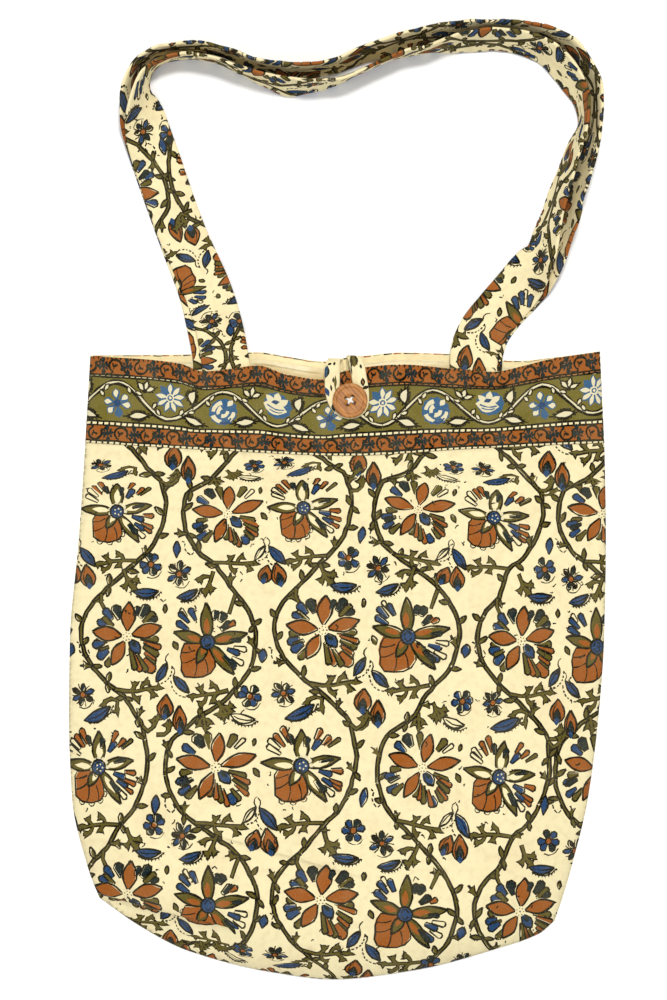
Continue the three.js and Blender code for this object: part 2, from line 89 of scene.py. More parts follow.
# Pressed creases: x0, y0, x1, y1, reach, depth
CREASES = [(-80, -233, 20, -267, 7, 1.6), (-126, -224, -100, -250, 7, 1.8)]

# Soft creases that only the cloth has: x0, y0, x1, y1, reach, depth
SOFT_CREASES = [
    (-150, 36, -118, 8, 4, 0.9), (-60, 30, -48, -10, 4, 0.9), (40, 28, 70, 6, 4, 0.7),
    (120, 33, 100, -20, 5, 0.9), (-66, 13, -2, 10, 3, 1.1), (30, 10, 120, 16, 5, 0.8),
    (-170, -120, -60, -150, 6, 0.8), (30, -120, 160, -95, 7, 0.8), (-20, -200, 120, -190, 7, 0.9),
    (40, -262, 140, -240, 5, 1.3), (-30, -300, 60, -290, 4, 1.2), (-150, -200, -90, -170, 5, 1.0),
    (60, -50, 175, -60, 6, 0.7), (-170, -40, -100, -60, 5, 0.7), (-98, -180, -70, -236, 4, 1.2),
    (60, 35, 76, -30, 4, 0.7), (-20, -84, 20, -100, 4, 0.7),
]

# Sharp creases that only the cloth has, stepping down on their lower side: x0, y0, x1, y1, reach, depth
SHARP_CREASES = [
    (-104, -224, -36, -244, 2.0, 3.0), (-64, -236, 26, -261, 2.0, 3.2),
    (-182, -268, -120, -282.8, 2.4, 2.6), (-152, -275, -62, -296.5, 2.4, 2.8),
    (-150, -270, -141, -286, 2.0, 1.6), (-140, -290, -78, -306, 1.8, 1.4),
    (-138, -206, -97, -253, 4.0, 2.4), (-76, 13, 8, 11.5, 2.6, 2.2),
]
CREASE_END = 22.0

# Small unevenness of the front: height, size, seed
RIPPLES = ((0.3, 60, 3), (0.1, 17, 4))

# The print at the fold of the lower left: the fold's line, what it hides, and how the print draws in below it
FOLD = (-172, -270.5, -62, -296.5)
FOLD_HIDES, FOLD_DRAWS, FOLD_LEFT = 15.0, 0.55, 0.06
FOLD_DEPTH, FOLD_REACH = 7.0, 5.0

# How the print draws in towards the base, along x, and from what height above it
BASE_DRAWS = np.array([(-120, 1), (-85, 0.5), (-10, 0.5), (35, 1)])
BASE_DRAW_FROM = 15.0

# Handles: x, y, roll (0 flat, 90 on edge), height of the lower edge's middle
STRAP_WIDTH, STRAP_THICK, FLOOR_CLEAR = 33.0, 2.2, 0.05
FRONT_HANDLE = np.array([
    (-75, 62, 0, 8.7), (-75.5, 86, 0, 8.7), (-78, 103, 0, 7.2), (-82, 122, 0, 4.2), (-89, 144, 0, 3.9),
    (-106, 182, 0, 3.9), (-121, 224, 0, 3.9), (-130.3, 254, 24, 3.9), (-133.5, 278, 66, 4.8),
    (-127, 296, 87, 1.8), (-109, 303.5, 93, 1.3), (-88, 302.7, 95, 1.3), (-66.5, 293.6, 92, 1.3),
    (-49, 287.5, 85, 1.3), (-32, 283.5, 79, 1.3), (-15, 284.6, 88, 1.3), (2.5, 288.5, 95, 1.3),
    (19.5, 294.8, 95, 1.3), (40, 303, 95, 1.3), (61, 308.8, 92, 1.3), (85, 314, 77, 1.3),
    (109, 316, 71, 1.3), (129.5, 311.8, 71, 1.3), (146.5, 304, 69, 1.3), (160, 290, 66, 1.3),
    (168.5, 275, 74, 1.3), (170, 259, 82, 1.3), (162.6, 240, 76, 1.3), (155.2, 219, 74, 1.3),
    (149.2, 198.5, 69, 1.6), (145, 184, 62, 2.6), (141, 170, 55, 3.8), (134, 158, 32, 4.4),
    (126.3, 147, 9, 4.1), (112, 130, 0, 3.9), (101, 116, 0, 4.4), (95.2, 102, 0, 7.2), (95, 86, 0, 8.7),
    (95, 62, 0, 8.7),
])
BACK_HANDLE = np.array([
    (-82, 62, 0, 3.8), (-82.3, 86, 0, 3.8), (-83.5, 102, 0, 3.8), (-87, 119, 0, 1.8), (-93, 144, 0, 1.3),
    (-107, 182, 0, 1.3), (-122, 224, 0, 1.3), (-132.5, 256, 14, 1.3), (-140, 279, 66, 1.3),
    (-137, 295.5, 84, 1.3), (-126, 305.5, 87, 1.3), (-109.5, 309, 88, 1.3), (-90, 309, 88, 1.3),
    (-71, 304.4, 87, 1.3), (-52, 298, 86, 1.3), (-34, 294.8, 84, 1.3), (-16, 295.2, 84, 1.3),
    (1, 298.5, 83, 1.3), (18, 305, 80, 1.3), (33, 310, 77, 1.3), (50, 315, 76, 1.3), (68, 319, 76, 1.3),
    (92, 322.5, 78, 1.3), (117, 323.5, 78, 1.3), (137, 320, 78, 1.3), (157, 311, 77, 1.3),
    (168.8, 297, 76, 1.3), (175.2, 281.5, 76, 1.3), (176.4, 262, 76, 1.3), (174.6, 244, 76, 1.3),
    (169.6, 225, 76, 1.3), (163.3, 206, 74, 1.3), (158.3, 189, 67, 1.3), (149.8, 174, 50, 1.3),
    (140.2, 160, 28, 1.3), (129.4, 147, 4, 1.3), (113.6, 130, 0, 1.3), (103.8, 116, 0, 1.4),
    (98.8, 101, 0, 3.4), (98, 86, 0, 3.8), (97, 62, 0, 3.8),
])

# Button loop: x, y, height (above the front where it is negative), turn of its outer edge, width
LOOP_WIDTH, LOOP_THICK, LOOP_CLEAR, UNDER_BUTTON = 8.0, 1.6, 0.7, 0.35
ON_FRONT = -1.0
LOOP_PATH = np.array([
    (2, 74, 3.5, 180, 8), (1, 90, 3.5, 180, 8), (-0.5, 96.5, 6, 180, 9), (-2, 95.5, 12, 180, 9.4),
    (-2.8, 88.5, 15.4, 180, 10.4), (-2.9, 80, ON_FRONT, 180, 10.6), (-2.6, 70, ON_FRONT, 190, 9),
    (1.5, 61.8, ON_FRONT, 230, 8), (9.3, 58.9, ON_FRONT, 270, 8), (16.4, 61.8, ON_FRONT, 310, 8),
    (18.4, 70, ON_FRONT, 350, 8.2), (16.2, 80, ON_FRONT, 360, 10.4), (14.4, 90, ON_FRONT, 360, 10.4),
    (12, 98, 11.8, 360, 9), (11.2, 98.5, 6, 360, 8.6), (11, 90, 3.5, 360, 8), (11, 74, 3.5, 360, 8),
])

# Button and its thread
BUTTON_AT = (9.3, 67.6)
BUTTON_RADIUS, BUTTON_THICK, BUTTON_DISH, BUTTON_LIFT = 12.0, 4.0, 0.9, 2.8
HOLE_CIRCLE, HOLE_RADIUS, HOLE_TURN = 3.2, 1.1, 60.0
STRAND, COIL_STRAND, SHANK = 0.42, 0.4, 3.5
STRAND_DIP, STRAND_TURN, STRAND_LIFT, CROSSING_RISE = 1.8, 14, 0.48, 0.6

# Colours of the cloth and inks, as the eye reads them
INKS = {
    "ground": (247, 232, 182), "rust": (157, 86, 29), "olive": (93, 82, 30), "band": (113, 102, 40),
    "blue": (28, 65, 105), "dark": (15, 12, 3), "teal": (14, 33, 36), "cream": (228, 216, 176),
    "mist": (48, 92, 128), "tan": (176, 118, 68),
}

# The print: size of its unit, and where the middle of one even repeat lies on the bag
UNIT = 0.69
PRINT_AT = np.array([-117.6, -96.9])
REPEAT_X, REPEAT_Y = 195.0, 127.5
WOBBLE = 0.22
LINE = 1.9
DARK_SWELL = 1.14
SLIP = 0.7
DARK_EDGE = 1.2

# How the two strokes of an outline swell from start to end
FIRST_STROKE, SECOND_STROKE = (1.05, 1.45), (1.35, 0.9)


# Numbers and curves

NOISE_WAVES, PATH_FINE, SHARE_ROUNDS = 9, 4000, 14


def smooth_curve(at, values):
    """A curve through the rows that never swings past them."""
    secant = np.diff(values) / np.diff(at)
    before = np.r_[secant[:1], secant]
    after = np.r_[secant, secant[-1:]]
    alike = before * after > 0
    slopes = np.where(alike, 2 * before * after / np.where(alike, before + after, 1), 0)

    def read(x):
        x = np.asarray(x, float)
        k = np.clip(np.searchsorted(at, x, side="right") - 1, 0, len(at) - 2)
        span = at[k + 1] - at[k]
        t = np.clip((x - at[k]) / span, 0, 1)
        rise = values[k + 1] - values[k]
        bend = t * (1 - t) * span * ((1 - t) * slopes[k] - t * slopes[k + 1])
        return values[k] + rise * t * t * (3 - 2 * t) + bend

    return read


left_side = smooth_curve(SIDES[:, 0], SIDES[:, 1])
right_side = smooth_curve(SIDES[:, 0], SIDES[:, 2])
base_seam = smooth_curve(BASE[:, 0], BASE[:, 1])
band_seam = smooth_curve(BAND_SEAM[:, 0], BAND_SEAM[:, 1])
front_rim = smooth_curve(RIM[:, 0], RIM[:, 1])
back_rim = smooth_curve(RIM[:, 0], RIM[:, 2])
rim_wave = smooth_curve(RIM[:, 0], RIM[:, 3])
crown = smooth_curve(CROWN[:, 0], CROWN[:, 1])


def mix(a, b, t):
    return a + (b - a) * t


def along(table, curve, s):
    x = mix(table[0, 0], table[-1, 0], s)
    return x, curve(x)


def smooth_noise(x, y, size, seed):
    """Slow bumps between about -1 and 1, from a few waves that cross."""
    hand = np.random.default_rng(seed)
    total = np.zeros(np.broadcast(x, y).shape)
    for _ in range(NOISE_WAVES):
        turn, start = hand.uniform(0, 2 * math.pi, 2)
        pitch = size * hand.uniform(0.7, 1.6)
        total += np.sin((x * math.cos(turn) + y * math.sin(turn)) * 2 * math.pi / pitch + start)
    return total / 4


def through(rows, columns, size):
    """A smooth path through table rows, in even steps, with the other columns read along it."""
    chord = np.r_[0, np.cumsum(np.sqrt(np.hypot(*np.diff(rows[:, :2], axis=0).T)))]
    at = np.linspace(0, chord[-1], PATH_FINE)
    slope = np.gradient(rows[:, :2], chord, axis=0)
    k = np.clip(np.searchsorted(chord, at, side="right") - 1, 0, len(chord) - 2)
    span = (chord[k + 1] - chord[k])[:, None]
    t = (at - chord[k])[:, None] / span
    p0, p1 = rows[k, :2], rows[k + 1, :2]
    m0, m1 = slope[k] * span, slope[k + 1] * span
    h = t * t * (3 - 2 * t)
    plan = mix(p0, p1, h) + t * (1 - t) * ((1 - t) * m0 - t * m1)
    read = [smooth_curve(chord, rows[:, c])(at) for c in columns]
    length = np.r_[0, np.cumsum(np.hypot(*np.diff(plan, axis=0).T))]
    even = np.arange(0, length[-1], size)
    return length[-1], even, [np.interp(even, length, v) for v in (plan[:, 0], plan[:, 1], *read)]


# The bag's form: s runs from left to right, t over the band from 0 to 1 and over the panel from 1 to 2

def sides_at(v):
    left = left_side(mix(BAND_SEAM[0, 1], BASE[0, 1], v))
    right = right_side(mix(BAND_SEAM[-1, 1], BASE[-1, 1], v))
    return left, right


def face_plan(rim, s, t):
    rim_x, rim_y = along(RIM, rim, s)
    seam_x, seam_y = along(BAND_SEAM, band_seam, s)
    base_y = along(BASE, base_seam, s)[1]
    v = np.clip(t - 1, 0, 1)
    left, right = sides_at(v)
    band = np.asarray(t) < 1
    x = np.where(band, mix(rim_x, seam_x, t), mix(left, right, s))
    y = np.where(band, mix(rim_y, seam_y, t), mix(seam_y, base_y, v))
    return x, y


def face_share(x, y):
    """The s and t of places on the panel."""
    s = np.full(np.shape(x), 0.5)
    v = np.full(np.shape(x), 0.5)
    for _ in range(SHARE_ROUNDS):
        left, right = sides_at(v)
        s = np.clip((x - left) / (right - left), 0, 1)
        seam_y = along(BAND_SEAM, band_seam, s)[1]
        base_y = along(BASE, base_seam, s)[1]
        v = np.clip((y - seam_y) / (base_y - seam_y), 0, 1)
    return s, 1 + v


def beside(line, x, y):
    x0, y0, x1, y1 = line[:4]
    run_x, run_y = x1 - x0, y1 - y0
    length = math.hypot(run_x, run_y)
    share = np.clip(((x - x0) * run_x + (y - y0) * run_y) / length ** 2, 0, 1)
    return share, -(run_x * (y - y0) - run_y * (x - x0)) / length


def crease_depth(lines, x, y):
    total = np.zeros(np.shape(x))
    for line in lines:
        share, below = beside(line, x, y)
        total += line[5] * np.sin(np.pi * share) * np.exp(-((below / line[4]) ** 2))
    return total


def sharp_depth(x, y):
    total = np.zeros(np.shape(x))
    for line in SHARP_CREASES:
        share, below = beside(line, x, y)
        below = np.maximum(below, 0)
        step = line[5] * np.sin(np.pi * share) * (1 - np.exp(-below / line[4]))
        total += step * np.exp(-below / CREASE_END)
    return total


def fold_depth(x, y):
    share, below = beside(FOLD, x, y)
    step = 1 - np.exp(-np.maximum(below, 0) / FOLD_REACH)
    return FOLD_DEPTH * step * (1 - share ** 4) + crease_depth(CREASES, x, y)


def rolled(distance, roll):
    lean = np.clip(1 - distance / roll, 0, 1)
    return lean, np.sqrt(1 - lean * lean)


def low_dome(distance, reach):
    return 1 - np.clip(1 - distance / reach, 0, 1) ** 2


def cloth_ripple(x, y):
    """Small unevenness of a soft bag, on top of its form."""
    ripple = sum(high * smooth_noise(x, y, size, seed) for high, size, seed in RIPPLES)
    return ripple - crease_depth(SOFT_CREASES, x, y)


def front_points(s, t, depth):
    """Points of the domed front at some depth below its outer face."""
    x, y = face_plan(front_rim, s, t)
    left = face_plan(front_rim, np.zeros_like(s), t)
    right = face_plan(front_rim, np.ones_like(s), t)
    width = np.hypot(right[0] - left[0], right[1] - left[1])
    from_side = width * np.minimum(s, 1 - s)
    from_base = y - along(BASE, base_seam, s)[1]
    side_lean, side_rise = rolled(from_side, SIDE_ROLL)
    base_lean, base_rise = rolled(from_base, BASE_ROLL)
    rise = side_rise * base_rise
    dome = low_dome(from_side, SIDE_REACH) * low_dome(from_base, BASE_REACH)
    wave = rim_wave(x) * np.clip(1 - (front_rim(x) - y) / WAVE_REACH, 0, 1) ** 2
    lift = crown(y) - EDGE_RISE + wave - fold_depth(x, y) + cloth_ripple(x, y)
    outward = np.where(s < 0.5, -1, 1)
    return np.c_[
        x - depth * side_lean * outward,
        y + depth * base_lean,
        SEAM_HEIGHT + EDGE_RISE * rise + dome * lift - (depth + sharp_depth(x, y)) * rise,
    ]


def band_height(x, y):
    s = (x - RIM[0, 0]) / (RIM[-1, 0] - RIM[0, 0])
    t = np.clip((front_rim(x) - y) / (front_rim(x) - band_seam(x)), 0, 1)
    return front_points(np.atleast_1d(s), np.atleast_1d(t), 0)[:, 2]


# Shapes of the print, in its own units

def leaf(length, width, belly=0.5, points=5):
    share = np.linspace(0, 1, points + 1)
    half = width / 2 * np.sin(np.pi * share ** (math.log(0.5) / math.log(belly)))
    low = np.c_[share * length, -half]
    high = np.c_[share * length, half]
    return np.r_[low, high[-2:0:-1]]


def spot(radius, points=8):
    angle = np.arange(points) * 2 * np.pi / points
    return radius * np.c_[np.cos(angle), np.sin(angle)]


def blunt(length, narrow, wide):
    """A petal with a blunt end, wider than its foot."""
    n, w, turn = narrow / 2, wide / 2, length - 0.32 * wide
    return np.array([(0, -n), (turn, -w), (length, -0.45 * w), (length, 0.45 * w), (turn, w), (0, n)])


def moved(shape, x, y, turn=0.0):
    c, s = math.cos(math.radians(turn)), math.sin(math.radians(turn))
    return shape @ np.array([(c, s), (-s, c)]) + (x, y)


def turning(shape):
    """Twice the area inside an outline, below zero where it runs with the clock."""
    ahead = np.roll(shape, -1, axis=0)
    return np.sum(shape[:, 0] * ahead[:, 1] - ahead[:, 0] * shape[:, 1])


def on_path(place, at, path):
    return np.array([np.interp(place, at, path[:, c]) for c in (0, 1)])


def swollen(path, widths):
    """A line of ink along a path, with its own width at each point."""
    path = np.asarray(path, float)
    run = np.gradient(path, axis=0)
    side = np.c_[-run[:, 1], run[:, 0]] / np.maximum(np.hypot(*run.T), 1e-6)[:, None]
    half = np.asarray(widths)[:, None] / 2
    return np.r_[path - side * half, (path + side * half)[::-1]]


def stroke(path, start, end):
    return swollen(path, np.linspace(start, end, len(path)))


def grown(shape, by):
    """A shape that stands out all round by a small width."""
    run = np.roll(shape, -1, axis=0) - shape
    out = np.c_[run[:, 1], -run[:, 0]] / np.maximum(np.hypot(*run.T), 1e-6)[:, None]
    both = out + np.roll(out, 1, axis=0)
    both /= np.maximum(np.hypot(*both.T), 1e-6)[:, None]
    lean = np.maximum(np.sum(both * out, axis=1), 0.5)
    return shape + both * (by / lean)[:, None]


def bow(x0, y0, x1, y1, bulge, points=5):
    """A bent path between two points, bulging to its left."""
    share = np.linspace(0, 1, points)
    across = np.array([-(y1 - y0), x1 - x0]) * bulge
    return np.c_[mix(x0, x1, share), mix(y0, y1, share)] + np.outer(4 * share * (1 - share), across)


def crescent(length, outer, inner):
    """A moon that bulges downward."""
    half = length / 2
    return np.r_[bow(-half, 0, half, 0, -outer, 6), bow(half, 0, -half, 0, inner, 6)[1:-1]]


class Print:
    """Shapes of ink in the order in which they are printed."""

    def __init__(self, seed):
        self.shapes = []
        self.hand = np.random.default_rng(seed)
        self.slip = {}
        self.block = None
        self.new_block()

    def new_block(self, block=None):
        """The next block is set down where it belongs, with its colours a little off from each other."""
        self.block = block
        for ink in INKS:
            self.slip[ink] = self.hand.normal(0, SLIP, 2)

    def lay(self, ink, shape):
        shape = np.asarray(shape, float) + self.hand.normal(0, WOBBLE, np.shape(shape))
        if self.block:
            shape = self.block(shape)
        self.shapes.append((ink, shape if turning(shape) > 0 else shape[::-1]))

    def line(self, path, start=LINE, end=LINE, ink="dark"):
        swell = DARK_SWELL if ink == "dark" else 1
        self.lay(ink, stroke(path, start * swell, end * swell))

    def stamp(self, ink, shape, line=LINE):
        """A fill of ink and, not quite on it, its drawn outline in two strokes."""
        if ink != "ground":
            self.lay(ink, shape + self.slip[ink])
        half = len(shape) // 2
        self.line(shape[:half + 1], line * FIRST_STROKE[0], line * FIRST_STROKE[1])
        self.line(np.r_[shape[half:], shape[:1]], line * SECOND_STROKE[0], line * SECOND_STROKE[1])

    def grow(self, shapes):
        """Olive pieces that run into one, with a dark edge round them all."""
        for shape in shapes:
            self.lay("dark", grown(shape, DARK_EDGE))
        for shape in shapes:
            self.lay("olive", shape + self.slip["olive"] * 0.5)


# The repeat of the field, in an even and an odd kind: flowers, leaves, buds and sprigs in an ogee of vines

# Petals round the flowers: ink, angle, distance of the middle, length, width
RUST_FAN = {
    0: [("blue", 133, 29, 12, 7), ("teal", 113, 25.5, 13, 9), ("olive", 146, 24, 13, 7),
        ("blue", 154, 28.5, 10, 6), ("teal", 53, 30, 13, 8), ("olive", 39, 29, 14, 7),
        ("teal", 30, 31, 9, 5.5), ("olive", 186, 27, 11, 6.5), ("blue", 198, 30.5, 11, 7),
        ("olive", 206, 27, 11, 5), ("blue", 214, 30, 12, 7.5), ("olive", 231, 29, 13, 6),
        ("olive", -6, 23, 17, 6), ("rust", -17, 27, 17, 5), ("olive", -29, 28, 16, 6),
        ("rust", -39, 31, 13, 5.5), ("olive", -44, 34, 11, 5), ("rust", -53, 36, 15, 9),
        ("olive", -61, 30, 17, 5.5), ("rust", -69, 27, 17, 5.5), ("olive", -78, 22, 20, 5.5)],
    1: [("blue", 147, 31, 13, 7), ("teal", 127, 30.5, 12.5, 9.5), ("olive", 104, 26, 15, 6.5),
        ("olive", 55, 30, 13, 7), ("ground", 42, 33, 12, 4), ("olive", 190, 29, 11, 6),
        ("blue", 199, 35, 11, 6), ("teal", 206, 32, 12, 5), ("blue", 217, 37, 12, 6),
        ("olive", 228, 33, 14, 6), ("olive", -17, 22, 16, 5.5), ("rust", -25, 27, 17, 4.5),
        ("olive", -34, 29, 16, 5), ("rust", -41, 33, 15, 4.5), ("olive", -49, 33, 13, 5),
        ("blue", -60, 35, 10, 8), ("rust", -70, 30.5, 16, 5), ("olive", -78, 26, 16, 5.5),
        ("rust", -86, 23, 15, 5), ("olive", -98, 20, 16, 5.5)],
}
STAR_FAN = {
    0: [("blue", 149, 30, 13, 6), ("blue", 136, 34, 13, 5.5), ("blue", 120, 31, 12, 5.5),
        ("teal", 62, 28.5, 9, 8), ("teal", 40, 24, 11, 6.5), ("rust", 33, 31, 7, 5),
        ("blue", -20, 28, 12, 5.5), ("blue", -39, 30, 15, 5.5), ("ground", -10, 34, 12, 5),
        ("ground", -29, 36, 12, 5), ("ground", 128, 38, 9, 4)],
    1: [("ground", 150, 31, 14, 5), ("ground", 141, 34, 13, 5), ("rust", 131, 33, 14, 5),
        ("rust", 117, 34, 15, 5.5), ("teal", 112, 28, 9, 5), ("blue", 55, 25, 11, 6),
        ("rust", 61, 35, 11, 5), ("rust", 44, 35, 10, 5), ("olive", 36, 39, 13, 4),
        ("blue", -18, 24, 12, 5.5), ("rust", -9, 35, 11, 5), ("blue", -32, 30, 12, 5),
        ("rust", -23, 37, 12, 4.5), ("rust", -31, 40, 9, 4), ("ground", -43, 36, 12, 5)],
}

# Flowers: centre, then angle, length and width of the large petals
RUST_FLOWER = {
    0: ((-43.4, 9.7), [(85, 35, 15), (15, 38, 14), (172, 37, 14.7), (-120, 33, 13)], (-51, 19)),
    1: ((-43.4, 1.1), [(83, 34.6, 13.4), (17, 42.6, 13), (168, 40, 14), (-117, 35.5, 12.5)], (-47, 19)),
}
STAR_FLOWER = {
    0: ((41.4, 3.4), [(92, 39.5, 13), (164, 37, 11.5), (11, 43, 12), (-50, 43, 11.5),
        (-119, 24, 10)], "rust"),
    1: ((42.2, 2.5), [(90, 36.5, 14.7), (175, 41, 12), (11, 40, 12), (-55, 43.8, 11.5),
        (-121, 23, 10)], "ground"),
}
STAR_PATCHES = {
    0: [("teal", 74, 27, 9, 6), ("teal", 4, 28, 10, 4.5), ("teal", -44, 28, 14, 5)],
    1: [("teal", 80, 24, 9, 5), ("teal", 14, 24, 12, 3.5), ("teal", -47, 26, 13, 6)],
}

# The shell under the star: its outline, and the lines that divide it
SHELL = {
    0: ([(-6, -1), (-24, -1), (-27, -7), (-28.5, -14), (-27.5, -21), (-28, -28), (-24, -34.5), (-14, -35.5),
         (-5, -34.5), (3, -31), (8, -24), (7, -14), (1, -7)],
        [((-13, -8), (-28, -10)), ((-13, -16), (-28, -20.5)), ((-12, -19), (-14, -35)),
         ((-3, -17), (0, -32))]),
    1: ([(-6, -2), (-23, -2.5), (-27, -9), (-26.5, -20), (-26, -29), (-19, -34.5), (-8, -35.5), (2, -32.5),
         (6, -26), (5, -16), (1, -8)],
        [((-13, -8), (-27, -12)), ((-12, -15), (-26, -23)), ((-11, -20), (-14, -36)), ((-3, -18), (0, -33))]),
}

# Small pieces: places, lengths, widths and angles
BLUE_FLOWERS = {0: [(-17.5, 81.3), (12, 71.4)], 1: [(-9.7, 71.9), (24, 74.7)]}
BOAT_LEAVES = {
    0: [("blue", -23, 53.2, 27, 0), ("blue", 21.1, 50.4, 24, 20)],
    1: [("ground", -16.7, 49.5, 26, -12), ("blue", 40.8, 55, 33, 26)],
}
HOOKED_LEAVES = {
    0: [("blue", -7, -26.8, 22, 8.6, 57), ("blue", 13.4, -38.7, 24, 9, -46)],
    1: [("blue", 9.2, -50, 29, 11, -51), ("ground", -9.7, -46, 21, 7, 52)],
}
OLIVE_LEAVES = {0: [(-2.8, 37, 9, 88), (7.8, 0, 10, 120)], 1: [(-2.7, -4, 11, 125), (-5, 26, 8, 80)]}
BUDS = {
    0: [(-3.5, -60.5, 25, 17, 85), (11.3, -73, 27, 14.5, 90)],
    1: [(-5.2, -71, 22, 16, 72), (9.6, -72.5, 28, 17, 100)],
}
OUTER_LEAVES = {0: (99, -11, 14, 9, 80), 1: (-103, -36, 20, 8, 85)}

# Sprigs: their stem, and from where to where each lobe runs
SPRIGS = {
    0: [([(-56, -43), (-44, -45), (-33, -45), (-22, -42.5), (-12, -41)],
         [(-42, -45, -35, -36), (-29, -44, -20.5, -35.5), (-38, -45, -30.5, -53.5), (-24, -43, -15.5, -51)]),
        ([(62, -45), (48, -48), (36, -49), (26, -51)],
         [(52, -47, 44, -39), (41, -48.5, 33, -41), (53, -47.5, 47, -57.5), (40, -49, 31.5, -59)]),
        ([(-46, 76), (-43, 68), (-37, 59)],
         [(-43.5, 70, -30.5, 66.5), (-43.5, 69, -46.5, 58), (-41, 65, -33.5, 58)]),
        ([(48, 73), (45, 64), (40, 55)], [(45.5, 68, 32, 63.5), (44, 64, 36, 53), (46, 66, 47.5, 54)]),
        ([(-70, 52), (-70.5, 44), (-67.5, 38), (-63.5, 34.5)], []), ([(71, 50), (68, 42), (64.6, 32)], []),
        ([(-12, -88), (-5, -88), (0, -84), (1.5, -79)], [(-2, -86, -3, -77)])],
    1: [([(-63, -54), (-51, -54.5), (-41, -56), (-30, -57), (-18, -57)],
         [(-48, -54.5, -42.5, -48), (-36, -56, -28.5, -49), (-44, -56, -38, -66), (-30, -57, -22, -66.5)]),
        ([(64, -54), (50, -54), (38, -55), (23, -59)],
         [(50, -54, 42, -46.5), (38, -55, 29.5, -48), (51, -54, 44, -62), (36, -56, 25, -65)]),
        ([(-41, 66), (-37, 60), (-33, 55)],
         [(-38, 62, -26.5, 63), (-37, 60, -28, 54.5), (-37, 59, -33.5, 50), (-39, 61, -41, 51.5)]),
        ([(-56, 54), (-55, 48), (-53, 41)], [(-55, 50, -59, 42), (-55, 49, -49, 44)]),
        ([(48, 68), (56, 71), (63, 69), (62, 60)], [(56, 70, 47, 63)]),
        ([(91, 44), (97, 39), (104, 44), (108, 51)], [(101, 41, 102, 51)])],
}

# The vines beside each kind, on its left and right: x, y from its middle
VINES = {
    (0, 1): [(69, 55), (81, 40), (89, 25), (92.5, 10), (91, -4), (86.5, -22), (79, -34), (68, -45),
             (59, -55)],
    (0, -1): [(-68, 54), (-81, 40.6), (-88.4, 29), (-92, 15), (-90.5, 1), (-85, -13), (-76, -25),
               (-65, -36.6), (-46, -52)],
    (1, 1): [(84, 54), (91, 45), (93, 35), (96, 20), (97, 9), (94, -9.5), (87, -28), (78.7, -42),
              (66, -54)],
    (1, -1): [(-60, 51), (-76, 37), (-86, 29), (-91, 17), (-93, 3), (-91, -16), (-84, -32), (-75.6, -44.5),
               (-63, -54)],
}
VINE_HALF, VINE_STEP, VINE_PIECE, LEAF_STEP = 1.6, 6.0, 12, 23.0
TICKS, REPEAT_REACH = 30, 110

# Where blocks were set down off from the even grid: row, column; x, y, width, height, turn
BLOCKS = {
    (2, 0): (11.4, -12, 1, 1, 0), (2, 1): (0.9, -18, 1, 1, 0), (2, 2): (-5.6, -18.5, 1, 1, 0),
    (1, -1): (10.5, -1.9, 0.9, 0.86, 0), (1, 0): (2.8, -0.7, 0.887, 0.86, 3.6),
    (1, 1): (-2.6, -3.4, 0.887, 0.86, -7), (1, 2): (-12.1, -3.1, 0.9, 0.86, 0),
    (0, 0): (2.6, -6, 0.95, 1, 0.6), (0, 1): (5.4, -0.1, 1, 1, 0), (0, 2): (3.9, -11, 0.9, 1, 0),
    (-1, -1): (-7.3, -2.4, 0.9, 1, 0), (-1, 0): (-4.1, -0.1, 1, 1, 0), (-1, 1): (1.9, -6.1, 0.9, 1, -8),
    (-1, 2): (-15.6, -6.1, 0.9, 1, -3), (-2, 0): (3.4, -10.2, 0.957, 1, -1.8),
    (-2, 1): (1.9, -16.4, 1, 1, -5.4), (-2, 2): (3.9, -27.6, 0.95, 1, -3),
    (-3, 0): (-20.6, 4, 0.95, 0.9, -8), (-3, 1): (-18.6, -8, 0.95, 0.9, 0),
}
SQUEEZED_ROW, SQUEEZE_FROM, SQUEEZE = 1, 30.0, 0.6


def block_place(row, column, blocks):
    """How places of one repeat go onto the cloth."""
    dx, dy, wide, high, turn = blocks.get((row, column), (0, 0, 1, 1, 0))
    x = (column + row % 2 / 2) * REPEAT_X + dx
    y = row * REPEAT_Y + dy
    squeeze = SQUEEZE if blocks and row == SQUEEZED_ROW else 1

    def place(shape):
        above = np.maximum(shape[:, 1] - SQUEEZE_FROM, 0)
        level = shape[:, 1] - above * (1 - squeeze)
        return moved(np.c_[shape[:, 0] * wide, level * high], x, y, turn)

    return place


def polar(angle, distance):
    return distance * math.cos(math.radians(angle)), distance * math.sin(math.radians(angle))


def petals_round(ink, x, y, fan, line):
    for colour, angle, middle, length, width in fan:
        turn = angle + ink.hand.normal(0, 1.5)
        dx, dy = polar(turn, middle - length / 2)
        petal = blunt(length * 1.12, width * 0.55, width * 1.18)
        ink.stamp(colour, moved(petal, x + dx, y + dy, turn), line)


def rust_flower(ink, odd):
    (x, y), petals, (kite, kite_long) = RUST_FLOWER[odd]
    petals_round(ink, x, y, RUST_FAN[odd], 1.3)
    for angle, length, width in petals:
        dx, dy = polar(angle, 4.5)
        body = moved(leaf(length - 4.5, width, 0.52, 7), x + dx, y + dy, angle)
        ink.lay("ground", grown(body, DARK_EDGE))
        ink.stamp("rust", body, 1.5)
    ink.stamp("blue", moved(leaf(kite_long, 11, 0.55, 4), x, y, kite) + polar(kite, 3), 1.4)
    ink.lay("teal", moved(leaf(9, 5, 0.5, 4), x, y, kite + 12) + polar(kite, 6))
    if not odd:
        petals_round(ink, x, y, [("teal", 70, 26.5, 9, 5.5)], 0.9)
    ink.lay("ground", moved(spot(5.6, 9), x, y))
    for place in 3.8 * spot(1, 7):
        ink.lay("dark", moved(spot(0.8, 4), x, y) + place)
    ink.lay("dark", moved(spot(1.0, 5), x, y))


